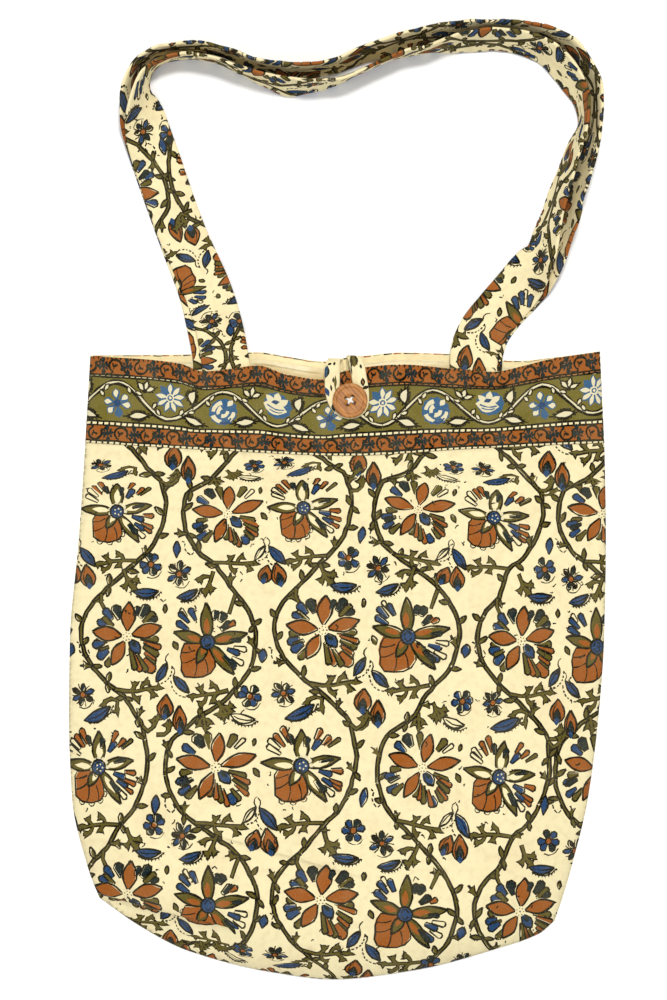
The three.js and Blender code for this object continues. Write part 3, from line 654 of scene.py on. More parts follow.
def shell(ink, x, y, odd):
    outline, lines = SHELL[odd]
    body = np.array(outline[::-1], float) + (x, y)
    if odd:
        for place in body[2:-5]:
            ink.lay("dark", moved(spot(3.9, 7), *place))
        for place in body[2:-5]:
            ink.lay("ground", moved(spot(2.7, 6), *place))
    ink.stamp("rust", body, 1.3)
    for (x0, y0), (x1, y1) in lines:
        ink.line(bow(x + x0, y + y0, x + x1, y + y1, 0.08, 4), 1.3, 1.1)


def star_flower(ink, odd):
    (x, y), petals, inner = STAR_FLOWER[odd]
    petals_round(ink, x, y, STAR_FAN[odd], 1.3)
    shell(ink, x, y, odd)
    for angle, length, width in petals:
        ink.stamp("olive", moved(leaf(length, width, 0.5, 7), x, y, angle), 1.5)
        start, end = (0.22, 0.7) if odd else (0.2, 0.62)
        heart = moved(leaf(length * (end - start), width * 0.52, 0.45, 5), x, y, angle)
        ink.lay(inner, heart + polar(angle, start * length) + ink.slip["rust"])
    petals_round(ink, x, y, STAR_PATCHES[odd], 0.8)
    if odd:
        for place in 8.6 * spot(1, 11)[:8]:
            ink.lay("cream", moved(spot(2.2, 6), x + 1, y + 0.5) + place)
    ink.stamp("blue", moved(spot(7.6, 11), x, y), 1.5)
    ink.line(moved(bow(-4, 0.8, 3.6, 1.6, 0.5, 5), x, y), 1.3, 0.9)
    ink.line(moved(bow(3.4, -2, -3.2, -1.4, 0.5, 5), x, y), 1.3, 0.9)
    if odd:
        for place in 3.4 * spot(1, 5):
            ink.lay("cream", moved(spot(1.0, 5), x + 1, y) + place)


def blue_flower(ink, x, y, ragged):
    """A small flower, with round petals or with narrow ones and dark lines between them."""
    turn = ink.hand.uniform(0, 60)
    for k in range(6):
        angle = turn + 60 * k + ink.hand.normal(0, 6)
        if ragged:
            petal = leaf(ink.hand.uniform(9, 13), 5.4, 0.6, 4)
            ink.stamp(("blue", "teal", "dark")[k % 3], moved(petal, x, y, angle) + polar(angle, 1.5), 1.1)
            ink.line(moved(bow(4, 0, 12, 0, 0.1, 3), x, y, angle + 28), 1.3, 0.9)
        else:
            petal = moved(blunt(8.2, 3.0, 7.4), x, y, angle) + polar(angle, 3.2)
            ink.stamp("teal" if k in (1, 4) else "blue", petal, 1.2)
    ink.line(moved(bow(-4, -12.5, 11, -7, -0.25, 5), x, y), 1.0, 0.9)
    ink.stamp("rust", moved(spot(3.4, 7), x, y), 1.3)


# The toothed line under a boat leaf 27 units long, one tooth, and the broken curl beside an outer leaf
BOAT_LONG = 27
TEETH = np.array([(-10, -3.4), (-3, -5.9), (4, -6.4), (11, -4.4), (16, 0.6)])
TOOTH = np.array([(-1.4, 0.4), (1.4, 0.4), (0.7, -2.8)])
CURL = np.array([(6, 9), (10, 7), (9, 1), (11, -4), (16, -8), (20, -4), (17, 2)])
CURL_SHOWN, HOOK_SHOWN = np.array([[0.1], [0.8]]), np.array([[0.1], [0.75]])


def boat_leaf(ink, colour, x, y, length, turn):
    """A leaf like a boat, with a toothed line under it."""
    half = length / 2
    ink.stamp(colour, moved(crescent(length, 0.26, -0.09) + (0, 1.5), x, y, turn), 1.5)
    ink.line(moved(bow(-half * 0.7, 0.6, half * 0.75, 0.4, -0.09, 5), x, y, turn), 1.0, 1.3)
    edge = TEETH * (length / BOAT_LONG, 1)
    ink.line(moved(edge, x, y, turn), 1.5, 1.3)
    for k in range(9):
        place = on_path(k / 2, range(5), edge)
        ink.lay("dark", moved(TOOTH + place, x, y, turn))


def hooked_leaf(ink, colour, x, y, length, width, turn):
    """A veined leaf with a thin hook at its upper end and a broken line beside it."""
    half = length / 2
    ink.stamp(colour, moved(leaf(length, width, 0.5, 6) - (half, 0), x, y, turn), 1.5)
    ink.line(moved(bow(-half * 0.75, 0, half * 0.75, 0, 0.06, 4), x, y, turn), 0.9, 1.3)
    sign = 1 if turn > 0 else -1
    tip = np.array((x, y)) + polar(turn, half * sign)
    ink.line(bow(*tip, tip[0] + 1.5 * sign, tip[1] + 10, 0.25 * sign, 4), 1.4, 1.0)
    edge = bow(-half * 0.9, -width * 0.5, half * 1.1, -width * 0.55, -0.22, 7)
    for k in range(6):
        ink.line(moved(mix(edge[k], edge[k + 1], HOOK_SHOWN), x, y, turn), 1.4, 1.2)


def outer_leaf(ink, x, y, length, width, turn):
    """A blue leaf between two vines, with a broken curl to its right."""
    ink.stamp("blue", moved(leaf(length, width, 0.55, 5) - (length / 2, 0), x, y, turn), 1.4)
    for k in range(len(CURL) - 1):
        ink.line(mix(CURL[k], CURL[k + 1], CURL_SHOWN) + (x, y), 1.5, 1.2)


def plain_leaf(ink, colour, x, y, length, turn):
    ink.stamp(colour, moved(leaf(length, length * 0.5, 0.5, 5) - (length / 2, 0), x, y, turn), 1.2)


def bud(ink, x, y, long, wide, turn):
    ink.stamp("rust", moved(leaf(long, wide, 0.42, 6) - (long / 2, 0), x, y, turn), 1.5)
    ink.stamp("teal", moved(leaf(long * 0.62, wide * 0.5, 0.42, 4) - (long * 0.52, 0), x, y, turn), 1.2)
    ink.line(moved(bow(-long * 0.3, wide * 0.26, long * 0.34, wide * 0.06, 0.12, 4), x, y, turn), 1.2, 0.8)
    ink.lay("blue", moved(leaf(8, 6, 0.5, 4), x, y, turn) + polar(turn, -long * 0.56))


# An ivy leaf 12 units long, and the lobes of a sprig: their widths, and angle and length of their side tips
IVY_LONG = 12
IVY = np.array([
    (0, -0.9), (5, -1.6), (9.5, -4.6), (8.6, -1.0), (12.5, 0.4), (8.4, 1.2), (8.2, 4.0), (4.4, 1.8), (0, 0.9),
])
LOBE_WIDTHS = (1.4, 1.9, 2.9, 3.2, 1.3)
LOBE_TIPS = ((50, 4.6), (-42, 5.2))


def sprig(ink, stem, lobes):
    """A thin stem with bent lobes, each ending in three tips."""
    pieces = [stroke(stem, 2.4, 1.9)]
    if lobes:
        (x0, y0), (x1, y1) = stem[-2:]
        run_x, run_y = x1 - x0, y1 - y0
        lobes = [*lobes, (x1 - 0.4 * run_x, y1 - 0.4 * run_y, x1 + 0.3 * run_x, y1 + 0.3 * run_y)]
    for k, (x0, y0, x1, y1) in enumerate(lobes):
        bulge = 0.2 if k % 2 else -0.2
        path = bow(x0, y0, x1, y1, bulge, 5)
        pieces.append(swollen(path, LOBE_WIDTHS))
        heading = math.degrees(math.atan2(*(path[-1] - path[-2])[::-1]))
        for turn, long in LOBE_TIPS:
            pieces.append(moved(leaf(long, 2.1, 0.4, 3), *path[-2], heading + turn))
    ink.grow(pieces)


def vine(ink, places):
    """A vine through many repeats, with leaves to both sides."""
    _, at, (x, y) = through(np.array(places), (), VINE_STEP)
    path = np.c_[x, y] + ink.hand.normal(0, 0.25, (len(x), 2))
    for start in range(0, len(path) - 1, VINE_PIECE):
        piece = path[start:start + VINE_PIECE + 1]
        if len(piece) < 2:
            continue
        ink.new_block()
        run = np.gradient(piece, axis=0)
        side = np.c_[-run[:, 1], run[:, 0]] / np.hypot(*run.T)[:, None]
        ink.line(piece + ink.slip["olive"] * 0.7, VINE_HALF * 2, VINE_HALF * 2, "olive")
        for out in (-VINE_HALF, VINE_HALF):
            ink.line(piece + side * out, 1.7, 1.7)
    for k, place in enumerate(np.arange(4, at[-1], LEAF_STEP)):
        foot = on_path(place, at, path)
        ahead = on_path(place + 3, at, path)
        heading = math.degrees(math.atan2(*(ahead - foot)[::-1]))
        side = 1 if k % 2 else -1
        size = ink.hand.uniform(10, 14)
        shape = IVY * (size / IVY_LONG) if k % 3 == 0 else leaf(size, 5.0, 0.48, 5)
        ink.stamp("olive", moved(shape, *foot, heading + side * ink.hand.uniform(115, 145)), 1.2)
        if ink.hand.random() < 0.35:
            other = leaf(size * 0.85, 4.4, 0.48, 5)
            ink.stamp("olive", moved(other, *foot, heading - side * ink.hand.uniform(30, 60)), 1.2)


def repeat(ink, odd):
    for stem, lobes in SPRIGS[odd]:
        sprig(ink, stem, lobes)
    rust_flower(ink, odd)
    star_flower(ink, odd)
    for k, (fx, fy) in enumerate(BLUE_FLOWERS[odd]):
        blue_flower(ink, fx, fy, k == 1)
    for row in BOAT_LEAVES[odd]:
        boat_leaf(ink, *row)
    for row in HOOKED_LEAVES[odd]:
        hooked_leaf(ink, *row)
    for row in OLIVE_LEAVES[odd]:
        plain_leaf(ink, "olive", *row)
    for row in BUDS[odd]:
        bud(ink, *row)
    outer_leaf(ink, *OUTER_LEAVES[odd])
    for _ in range(TICKS):
        dx, dy = ink.hand.uniform(-75, 75), ink.hand.uniform(-85, 90)
        if abs(dx) < 80 - 0.6 * abs(dy):
            tick = bow(0, 0, ink.hand.uniform(2, 6), 0, ink.hand.normal(0, 0.3), 3)
            ink.line(moved(tick, dx, dy, ink.hand.uniform(0, 360)), 1.6, 0.8)


def field_print(low, high, seed, blocks):
    """The field's print over a box of its own plane."""
    ink = Print(seed)
    columns = range(math.floor(low[0] / REPEAT_X) - 1, math.ceil(high[0] / REPEAT_X) + 2)
    rows = range(math.ceil(high[1] / REPEAT_Y) + 1, math.floor(low[1] / REPEAT_Y) - 2, -1)
    for column in columns:
        for side in (1, -1):
            places = []
            for row in rows:
                odd = row % 2
                place = block_place(row, column - (odd and side < 0), blocks)
                places.append(place(np.array(VINES[odd, side if not odd else -side], float)))
            places = np.vstack(places)
            if places[:, 0].max() > low[0] and places[:, 0].min() < high[0]:
                vine(ink, places)
    for row in rows:
        for column in columns:
            place = block_place(row, column, blocks)
            centre = place(np.zeros((1, 2)))[0]
            if np.all(low - REPEAT_REACH < centre) and np.all(high + REPEAT_REACH > centre):
                ink.new_block(place)
                repeat(ink, row % 2)
    return ink


# The print of the band: units as above, x from the middle of the bag, y from 0 at the rim down
BAND_DEEP = 87.0
BAND_HALF = 268.0
BAND_ENDS = (-BAND_HALF - 6, BAND_HALF + 7)
WORN_STRIPE = (17.4, 20.0, -128)
STRIPES = {"rust_top": (0.0, 17.5), "olive": (20.0, 64.5), "rust_low": (68.5, 84.0)}
DASHES = (18.8, 66.6, 85.6)
CROSS_STEP = 26.0
BAND_WAVE = 106.0
BAND_CREST = -114.0
BAND_SWING = 17.0
BAND_MIDDLE = -41.0
BAND_PIECE = 16

# Petals of the crosses: angle, length, width, belly, points
CROSS_PETALS = [
    (98, 9.4, 4.6, 0.66, 4), (278, 9.4, 4.6, 0.66, 4), (8, 6.4, 4.2, 0.66, 4), (188, 6.4, 4.2, 0.66, 4),
    (48, 6.6, 2.6, 0.7, 3), (144, 6.6, 2.6, 0.7, 3), (228, 6.6, 2.6, 0.7, 3), (324, 6.6, 2.6, 0.7, 3),
]

# Strokes of the scrolls beside their curl: x0, y0, x1, y1, bulge, width at the start and at the end
SCROLL_STROKES = [
    (6, -3.6, 11, -7, 0.25, 2.0, 1.3), (-1.6, -5.6, -9, -7, 0.2, 1.6, 1.2),
    (-2.6, 2.8, 2.6, 1.2, -0.5, 1.5, 1.2), (2.6, 1.2, -1.4, -3.2, -0.3, 1.9, 1.2),
]

# Petals of the looped flower: angle and length, and the angle of the filled one
LOOPED_PETALS, FILLED_PETAL = ((100, 15), (38, 14), (-8, 15), (-78, 15), (-132, 14), (172, 14)), -78

# Light arcs of the rose: radius, start, sweep
ROSE_ARCS = ((10, 100, 75), (10.6, 200, 62), (10.6, -55, 52), (5, 110, 95), (4.4, 250, 120))

# Leaves of the band's vine: place along it and angle; angle and place of the long ones; angles of the tufts
VINE_LEAVES = ((-17, 60), (-8, 120), (11, 70), (18, 20))
LONG_LEAVES = ((5, -30), (-18, 25))
TUFT_TURNS = (20, 75, 130)


def stripe(ink, colour, top, bottom, start=BAND_ENDS[0]):
    x = np.arange(start, BAND_ENDS[1], 9.0)
    ink.lay(colour, np.r_[np.c_[x, np.full(len(x), -bottom)], np.c_[x, np.full(len(x), -top)][::-1]])


def cross(ink, x, y):
    for turn, *petal in CROSS_PETALS:
        ink.lay("teal", moved(leaf(*petal), x, y, turn))
    ink.lay("teal", moved(spot(2.4, 6), x, y))


def scroll(ink, x, y, flip):
    """A curl between two crosses, with a comma in it."""
    turn = np.linspace(-0.5, 4.4, 11)
    radius = np.linspace(7.2, 5.6, 11)
    curl = np.c_[radius * np.cos(turn), radius * np.sin(turn) * flip]
    ink.line(curl + (x, y), 2.4, 1.7)
    for x0, y0, x1, y1, bulge, start, end in SCROLL_STROKES:
        ink.line(bow(x + x0, y + y0 * flip, x + x1, y + y1 * flip, bulge * flip, 4), start, end)


def ragged_disc(radius, points):
    disc = spot(radius, points)
    disc[1::2] *= 0.9
    return disc


def sky_flower(ink, x, y, kind):
    """The four flowers of the band, by turns: loops, daisy, rose and tulip."""
    if kind == 0:
        for turn, long in LOOPED_PETALS:
            ink.lay("mist", moved(leaf(long, 8.6, 0.68, 5), x, y, turn))
            if turn != FILLED_PETAL:
                ink.lay("cream", moved(leaf(long - 6.6, 5.6, 0.6, 4) + (5.6, 0), x, y, turn))
        ink.lay("blue", moved(spot(4.0, 8), x, y))
    elif kind == 1:
        for k in range(9):
            ink.lay("mist", moved(leaf(15.5, 8.2, 0.55, 4), x, y, 40 * k + 12))
        for k in range(9):
            if k != 3:
                ink.lay("cream", moved(leaf(11.5, 4.6, 0.55, 4) + (3, 0), x, y, 40 * k + 12))
        ink.lay("cream", moved(spot(4.4, 8), x, y))
        ink.lay("mist", moved(spot(2.9, 7), x, y))
        ink.lay("cream", moved(spot(1.5, 6), x, y))
    elif kind == 2:
        ink.lay("mist", moved(ragged_disc(14.8, 26), x, y))
        for radius, start, sweep in ROSE_ARCS:
            angle = np.radians(np.linspace(start, start + sweep, 6))
            ink.line(radius * np.c_[np.cos(angle), np.sin(angle)] + (x, y), 4.4, 3.2, "cream")
        ink.line(moved(bow(-3, -11, 8, -7, -0.3, 5), x, y), 2.2, 1.6, "blue")
        ink.lay("cream", moved(leaf(8, 5.4, 0.5, 4) + (7, 0), x, y, 52))
    else:
        ink.lay("mist", moved(ragged_disc(14.2, 22), x + 1.5, y))
        ink.lay("cream", moved(leaf(24, 16, 0.48, 6) - (13, 2.5), x, y, -10))
        for turn in (36, 84, 140):
            ink.lay("cream", moved(leaf(13.5, 7.4, 0.55, 4) + (0.5, 0), x, y, turn))
        ink.line(moved(bow(-9, -1, 8, -3, -0.12, 5), x, y), 1.5, 1.1, "mist")
        ink.line(moved(bow(-7, -5, 6, -6, -0.12, 5), x, y), 1.3, 0.9, "mist")
        ink.lay("blue", moved(leaf(9, 4.6, 0.5, 4) - (4.5, 0), x - 1, y + 3.4, 20))


def fringed(ink, body, x, y, turn, line=2.0, hair=1.7):
    """A cream leaf in a dark edge with short hairs."""
    rim, tips = grown(body, line), grown(body, line + hair)
    for share in (0.0, 0.5):
        feet = mix(rim, np.roll(rim, -1, axis=0), share)
        ends = mix(tips, np.roll(tips, -1, axis=0), share)
        for foot, end in zip(feet, ends):
            ink.line(moved(np.array([mix(foot, end, -0.4), end]), x, y, turn), 1.8, 1.0)
    ink.lay("dark", moved(rim, x, y, turn))
    ink.lay("cream", moved(body, x, y, turn))


def band_print(seed):
    ink = Print(seed)
    stripe(ink, "rust", *STRIPES["rust_top"])
    stripe(ink, "band", *STRIPES["olive"])
    stripe(ink, "rust", *STRIPES["rust_low"])
    stripe(ink, "tan", *WORN_STRIPE)
    x = np.arange(*BAND_ENDS, 8.0)
    for level in (*STRIPES["rust_top"][1:], *STRIPES["olive"], *STRIPES["rust_low"]):
        ink.line(np.c_[x, np.full(len(x), -level)], 1.7, 1.7)
    for level in DASHES:
        for x in np.arange(-BAND_HALF, BAND_HALF, 6.0):
            ink.line([(x, -level - 1.7), (x + 0.3, -level + 1.7)], 1.8, 1.6)
    for x in np.arange(-BAND_HALF, BAND_HALF, 4.6):
        ink.line([(x, -2.6), (x + ink.hand.normal(0, 0.8), 0.6)], 1.2, 1.7)
    for k, x in enumerate(np.arange(-BAND_HALF + 6, BAND_HALF, CROSS_STEP)):
        for (top, bottom), shift in ((STRIPES["rust_top"], 0), (STRIPES["rust_low"], 9)):
            middle = -(top + bottom) / 2
            cross(ink, x + shift + ink.hand.normal(0, 0.6), middle)
            scroll(ink, x + shift + CROSS_STEP / 2, middle, 1 if k % 2 else -1)
    x = np.arange(*BAND_ENDS, 5.0)
    path = np.c_[x, BAND_MIDDLE + BAND_SWING * np.cos(2 * np.pi * (x - BAND_CREST) / BAND_WAVE)]
    for start in range(0, len(path) - 1, BAND_PIECE):
        piece = path[start:start + BAND_PIECE + 1]
        ink.line(piece - (0.4, 0.5), 5.0, 5.0)
        ink.line(piece, 1.7, 1.7, "cream")
    for k in range(-4, 8):
        at = BAND_CREST + k * BAND_WAVE / 2
        if abs(at) > BAND_HALF + 10:
            continue
        sign = 1 if k % 2 == 0 else -1
        if sign > 0:
            fringed(ink, crescent(13, 0.4, -0.1), at - 29, BAND_MIDDLE + 10, -98)
            for turn in TUFT_TURNS:
                fringed(ink, leaf(8.5, 3.6, 0.55, 3) + (1.5, 0), at + 28, BAND_MIDDLE + 9, turn, 1.4, 0.6)
        else:
            for turn, dx in LONG_LEAVES:
                fringed(ink, leaf(17, 5.4, 0.5, 6) - (8.5, 0), at + dx, BAND_MIDDLE - 16, turn)
        for dx, turn in VINE_LEAVES:
            rise = sign * BAND_SWING * math.cos(2 * math.pi * dx / BAND_WAVE)
            foot = np.array((at + dx, BAND_MIDDLE + rise))
            ink.lay("dark", moved(leaf(9.5, 6.0, 0.55, 3), *foot, -sign * turn))
            ink.lay("cream", moved(leaf(6.2, 2.8, 0.55, 3) + (1.6, 0), *foot, -sign * turn))
        sky_flower(ink, at + 1, BAND_MIDDLE - sign * 4.5, (k + 2) % 4)
    return ink


# Flat cloth with the print cut into it

WELD = 1e-4
FINEST = 0.06

# How far past its own area a shape may spread before it counts as torn open
MOST_SPREAD, SPARE_SPREAD = 1.4, 2.0


def simpler(shape):
    """The same outline without the points that hardly bend it."""
    for _ in range(4):
        if len(shape) < 7:
            break
        behind, ahead = np.roll(shape, 1, axis=0), np.roll(shape, -1, axis=0)
        run, off = ahead - behind, shape - behind
        bend = np.abs(run[:, 0] * off[:, 1] - run[:, 1] * off[:, 0]) / np.maximum(np.hypot(*run.T), WELD)
        drop = (bend < FINEST) & (np.arange(len(shape)) % 2 == 1)
        shape = np.roll(shape[~drop], 1, axis=0)
    return shape


def triangle_edges(triangles):
    return np.vstack([triangles[:, [0, 1]], triangles[:, [1, 2]], triangles[:, [2, 0]]])


def joined_inks(flat, triangles, top, shapes, spots):
    """The same print with edges only where the ink changes, so that what lies hidden costs no triangles."""
    names = list(INKS)
    inks = np.array([names.index(ink) for ink, _ in shapes] + [-1])[top]
    edges = np.sort(triangle_edges(triangles), axis=1)
    order = np.lexsort(edges.T)
    edges, beside_ink = edges[order], np.tile(inks, 3)[order]
    twin = np.all(edges[1:] == edges[:-1], axis=1)
    alone = ~(np.r_[twin, False] | np.r_[False, twin])
    changes = np.r_[twin & (beside_ink[1:] != beside_ink[:-1]), False]
    used, lines = np.unique(edges[alone | changes], return_inverse=True)
    loops = sorted(border_loops(triangles), key=len, reverse=True)
    faces = [np.searchsorted(used, loop).tolist() for loop in loops]
    points = np.vstack([flat[used], spots])
    made = delaunay_2d_cdt([Vector(p) for p in points], lines.reshape(-1, 2).tolist(), faces, 0, WELD, True)
    kept = np.array([t for t, owner in zip(made[2], made[5]) if 0 in owner and len(owner) == 1])
    plan = np.array([v[:] for v in made[0]])
    old = BVHTree.FromPolygons(np.c_[flat, np.zeros(len(flat))].tolist(), triangles.tolist())
    found = [old.ray_cast((*p, 1.0), (0, 0, -1))[2] for p in plan[kept].mean(1)]
    return plan, kept, np.array([-1 if k is None else top[k] for k in found])


def cut_cloth(outline, spots, shapes, holes=()):
    """Triangles of a flat outline and, for each, the number of the shape that lies uppermost on it, or -1."""
    loops = [outline, *holes]
    blocks = [*loops, *[simpler(shape) for _, shape in shapes]]
    points = np.vstack([*blocks, np.asarray(spots).reshape(-1, 2)])
    ends = np.cumsum([len(block) for block in blocks])
    faces = [list(range(end - len(block), end)) for block, end in zip(blocks, ends)]
    made = delaunay_2d_cdt([Vector(p) for p in points], [], faces, 0, WELD, True)
    flat = np.array([v[:] for v in made[0]])
    triangles = np.array(made[2])
    owners = made[5]
    edge_a = flat[triangles[:, 1]] - flat[triangles[:, 0]]
    edge_b = flat[triangles[:, 2]] - flat[triangles[:, 0]]
    areas = 0.5 * np.abs(edge_a[:, 0] * edge_b[:, 1] - edge_a[:, 1] * edge_b[:, 0])
    spread = np.zeros(len(faces))
    for area, owner in zip(areas, owners):
        for face in owner:
            spread[face] += area
    for k, block in enumerate(blocks):
        spread[k] = spread[k] <= MOST_SPREAD * 0.5 * abs(turning(block)) + SPARE_SPREAD
    first = len(loops)
    keep = [i for i, owner in enumerate(owners) if 0 in owner and not any(0 < f < first for f in owner)]
    top = [max((f - first for f in owners[i] if f >= first and spread[f]), default=-1) for i in keep]
    triangles, top = triangles[keep], np.array(top)
    if shapes:
        flat, triangles, top = joined_inks(flat, triangles, top, shapes, np.asarray(spots).reshape(-1, 2))
    used, inverse = np.unique(triangles, return_inverse=True)
    return flat[used], inverse.reshape(triangles.shape), top


def border_loops(triangles):
    """The loops of vertices round the edge of a set of triangles."""
    known = set(map(tuple, triangle_edges(triangles).tolist()))
    ahead = {a: b for a, b in known if (b, a) not in known}
    loops = []
    while ahead:
        start, at = ahead.popitem()
        loop = [start]
        while at != start and at in ahead:
            loop.append(at)
            at = ahead.pop(at)
        loops.append(loop)
    return loops


def thick_cloth(flat, triangles, top, spots, outer, inner, inner_shapes=()):
    """A closed sheet: printed triangles on the outer face and an inner face that shares their edge."""
    outline = max(border_loops(triangles), key=len)
    lined, lining, under = cut_cloth(flat[outline], spots, inner_shapes)
    place = {tuple(np.round(p, 3)): k for k, p in enumerate(lined)}
    count = len(flat)
    below = [count + place[tuple(np.round(p, 3))] for p in flat[outline]]
    walls = []
    for k, a in enumerate(outline):
        b = outline[(k + 1) % len(outline)]
        low_a, low_b = below[k], below[(k + 1) % len(outline)]
        walls += [(b, a, low_a), (b, low_a, low_b)]
    points = np.vstack([outer(flat), inner(lined)])
    faces = np.vstack([triangles, lining[:, ::-1] + count, walls])
    tops = np.r_[top, under, np.full(len(walls), -1)]
    return points, faces, tops, np.vstack([flat, lined])


def linear(colour):
    c = np.asarray(colour, float) / 255
    return np.where(c <= 0.04045, c / 12.92, ((c + 0.055) / 1.055) ** 2.4)


def ink_colours(tops, shapes, ground="ground"):
    """Colour of each triangle, with the amount of ink as its fourth number."""
    names = list(INKS)
    palette = np.array([[*linear(INKS[name]), float(name != "ground")] for name in names])
    palette = np.vstack([palette, [*linear(INKS[ground]), 0.0]])
    of_shape = np.array([names.index(ink) for ink, _ in shapes] + [len(names)], int)
    return palette[of_shape[tops]]


def new_piece(name, points, faces, material, node, colours=None, flat=None):
    """A mesh in the part's frame, with its print and its flat places."""
    mesh = bpy.data.meshes.new(name)
    mesh.from_pydata(((points - MIDDLE) * MM).tolist(), [], faces.tolist())
    if colours is not None:
        layer = mesh.color_attributes.new("print", "FLOAT_COLOR", "CORNER")
        layer.data.foreach_set("color", np.repeat(colours, 3, axis=0).ravel())
    if flat is not None:
        layer = mesh.uv_layers.new(name="cloth")
        layer.data.foreach_set("uv", (flat[faces.ravel()] * MM).ravel())
    mesh.polygons.foreach_set("use_smooth", np.ones(len(mesh.polygons), bool))
    mesh.materials.append(material)
    piece = bpy.data.objects.new(name, mesh)
    bpy.context.collection.objects.link(piece)
    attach(piece, "root")
    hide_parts(node)
    return piece


# Materials

def nodes_of(name):
    material = bpy.data.materials.new(name)
    material.use_nodes = True
    tree = material.node_tree
    shader = tree.nodes["Principled BSDF"]
    return material, tree, shader


def add(tree, kind, **values):
    node = tree.nodes.new(kind)
    for key, value in values.items():
        if key in node.inputs:
            node.inputs[key].default_value = value
        else:
            setattr(node, key, value)
    return node


def set_values(node, values):
    for key, value in values.items():
        node.inputs[key].default_value = value


def opaque(colour):
    return (*linear(colour), 1)


def reckoned(tree, operation, a, b):
    node = add(tree, "ShaderNodeMath", operation=operation)
    tree.links.new(a, node.inputs[0])
    tree.links.new(b, node.inputs[1])
    return node.outputs[0]


def mixed(tree, share, a, b, mode="MIX"):
    """A colour between a and b; each is an output or a plain colour."""
    node = tree.nodes.new("ShaderNodeMix")
    node.data_type = "RGBA"
    node.blend_type = mode
    for socket, value in ((node.inputs[0], share), (node.inputs[6], a), (node.inputs[7], b)):
        if hasattr(value, "is_output"):
            tree.links.new(value, socket)
        else:
            socket.default_value = value
    return node.outputs[2]


def ramp(tree, source, low, high, start=0.0, end=1.0):
    node = add(tree, "ShaderNodeMapRange", clamp=True)
    set_values(node, {"From Min": low, "From Max": high, "To Min": start, "To Max": end})
    tree.links.new(source, node.inputs["Value"])
    return node.outputs["Result"]


def noise(tree, place, scale, detail=2.0):
    node = add(tree, "ShaderNodeTexNoise", Scale=scale, Detail=detail)
    tree.links.new(place, node.inputs["Vector"])
    return node.outputs["Fac"]


THREAD_PITCH = 0.00062


def weave(tree, place, strength):
    """Crossing threads as a bump, uneven as hand-spun yarn is."""
    waves = []
    for direction in ("X", "Y"):
        wave = add(tree, "ShaderNodeTexWave", wave_type="BANDS", bands_direction=direction)
        wave.wave_profile = "SIN"
        set_values(wave, {"Scale": math.pi / 10 / THREAD_PITCH, "Distortion": 1.2})
        set_values(wave, {"Detail": 1.0, "Detail Scale": 0.4})
        tree.links.new(place, wave.inputs["Vector"])
        waves.append(wave.outputs["Fac"])
    higher = reckoned(tree, "MAXIMUM", *waves)
    slub = noise(tree, place, 420, 3)
    bump = add(tree, "ShaderNodeBump", Strength=strength, Distance=0.0003)
    tree.links.new(reckoned(tree, "ADD", higher, slub), bump.inputs["Height"])
    return bump.outputs["Normal"], higher


# The painted shade that the lining darkens to lower down in the mouth, the lining's own cream, and the
# thread's colour
LINING_PAINTED_SHADE = (222, 196, 142)
LINING_CREAM = (250, 238, 197)
THREAD_WHITE = (246, 243, 232)
STAIN, FLECK = (0.74, 0.52, 0.27, 1), (0.66, 0.5, 0.28, 1)
DARK_GRAIN, LIGHT_GRAIN, PORE = (0.25, 0.088, 0.0185, 1), (0.58, 0.24, 0.056, 1), (0.16, 0.06, 0.025, 1)


def cotton(name, printed, tint=INKS["ground"], strength=0.35):
    """Plain-woven cotton; a printed one takes its inks from the cloth, and a plain one has painted shade
    lower down, where the front rim shades the lining.
    """
    material, tree, shader = nodes_of(name)
    uv = add(tree, "ShaderNodeUVMap", uv_map="cloth").outputs["UV"]
    normal, threads = weave(tree, uv, strength)
    stains = ramp(tree, noise(tree, uv, 26, 4), 0.5, 0.78, 0, 0.3)
    flecks = ramp(tree, noise(tree, uv, 210, 3), 0.46, 0.74, 0, 0.3)
    colour = mixed(tree, flecks, mixed(tree, stains, opaque(tint), STAIN), FLECK)
    if printed:
        layer = add(tree, "ShaderNodeVertexColor", layer_name="print")
        patchy = ramp(tree, noise(tree, uv, 900, 3), 0.24, 0.46, 0.88, 1.0)
        faded = ramp(tree, noise(tree, uv, 60, 3), 0.25, 0.7, 0.94, 1.0)
        amount = reckoned(tree, "MULTIPLY", patchy, faded)
        taken = reckoned(tree, "MULTIPLY", amount, layer.outputs["Alpha"])
        colour = mixed(tree, taken, colour, layer.outputs["Color"])
    else:
        split = add(tree, "ShaderNodeSeparateXYZ")
        tree.links.new(uv, split.inputs[0])
        # Painted shade: lower down its cloth map the lining darkens towards LINING_PAINTED_SHADE, up to 85 %,
        # with a noisy edge, for the front rim's shade over the mouth
        uneven = ramp(tree, noise(tree, uv, 30, 2), 0.2, 0.8, -0.014, 0.014)
        depth = reckoned(tree, "ADD", split.outputs["Y"], uneven)
        colour = mixed(tree, ramp(tree, depth, -0.018, -0.034, 0.0, 0.85), colour, opaque(LINING_PAINTED_SHADE))
    shade = ramp(tree, threads, 0.2, 1.0, 0.9, 1.0)
    tone = add(tree, "ShaderNodeCombineColor")
    for socket in tone.inputs:
        tree.links.new(shade, socket)
    colour = mixed(tree, 1.0, colour, tone.outputs["Color"], "MULTIPLY")
    tree.links.new(colour, shader.inputs["Base Color"])
    tree.links.new(normal, shader.inputs["Normal"])
    set_values(shader, {"Roughness": 0.95, "Specular IOR Level": 0.04})
    set_values(shader, {"Sheen Weight": 0.015, "Sheen Roughness": 0.5})
    return material


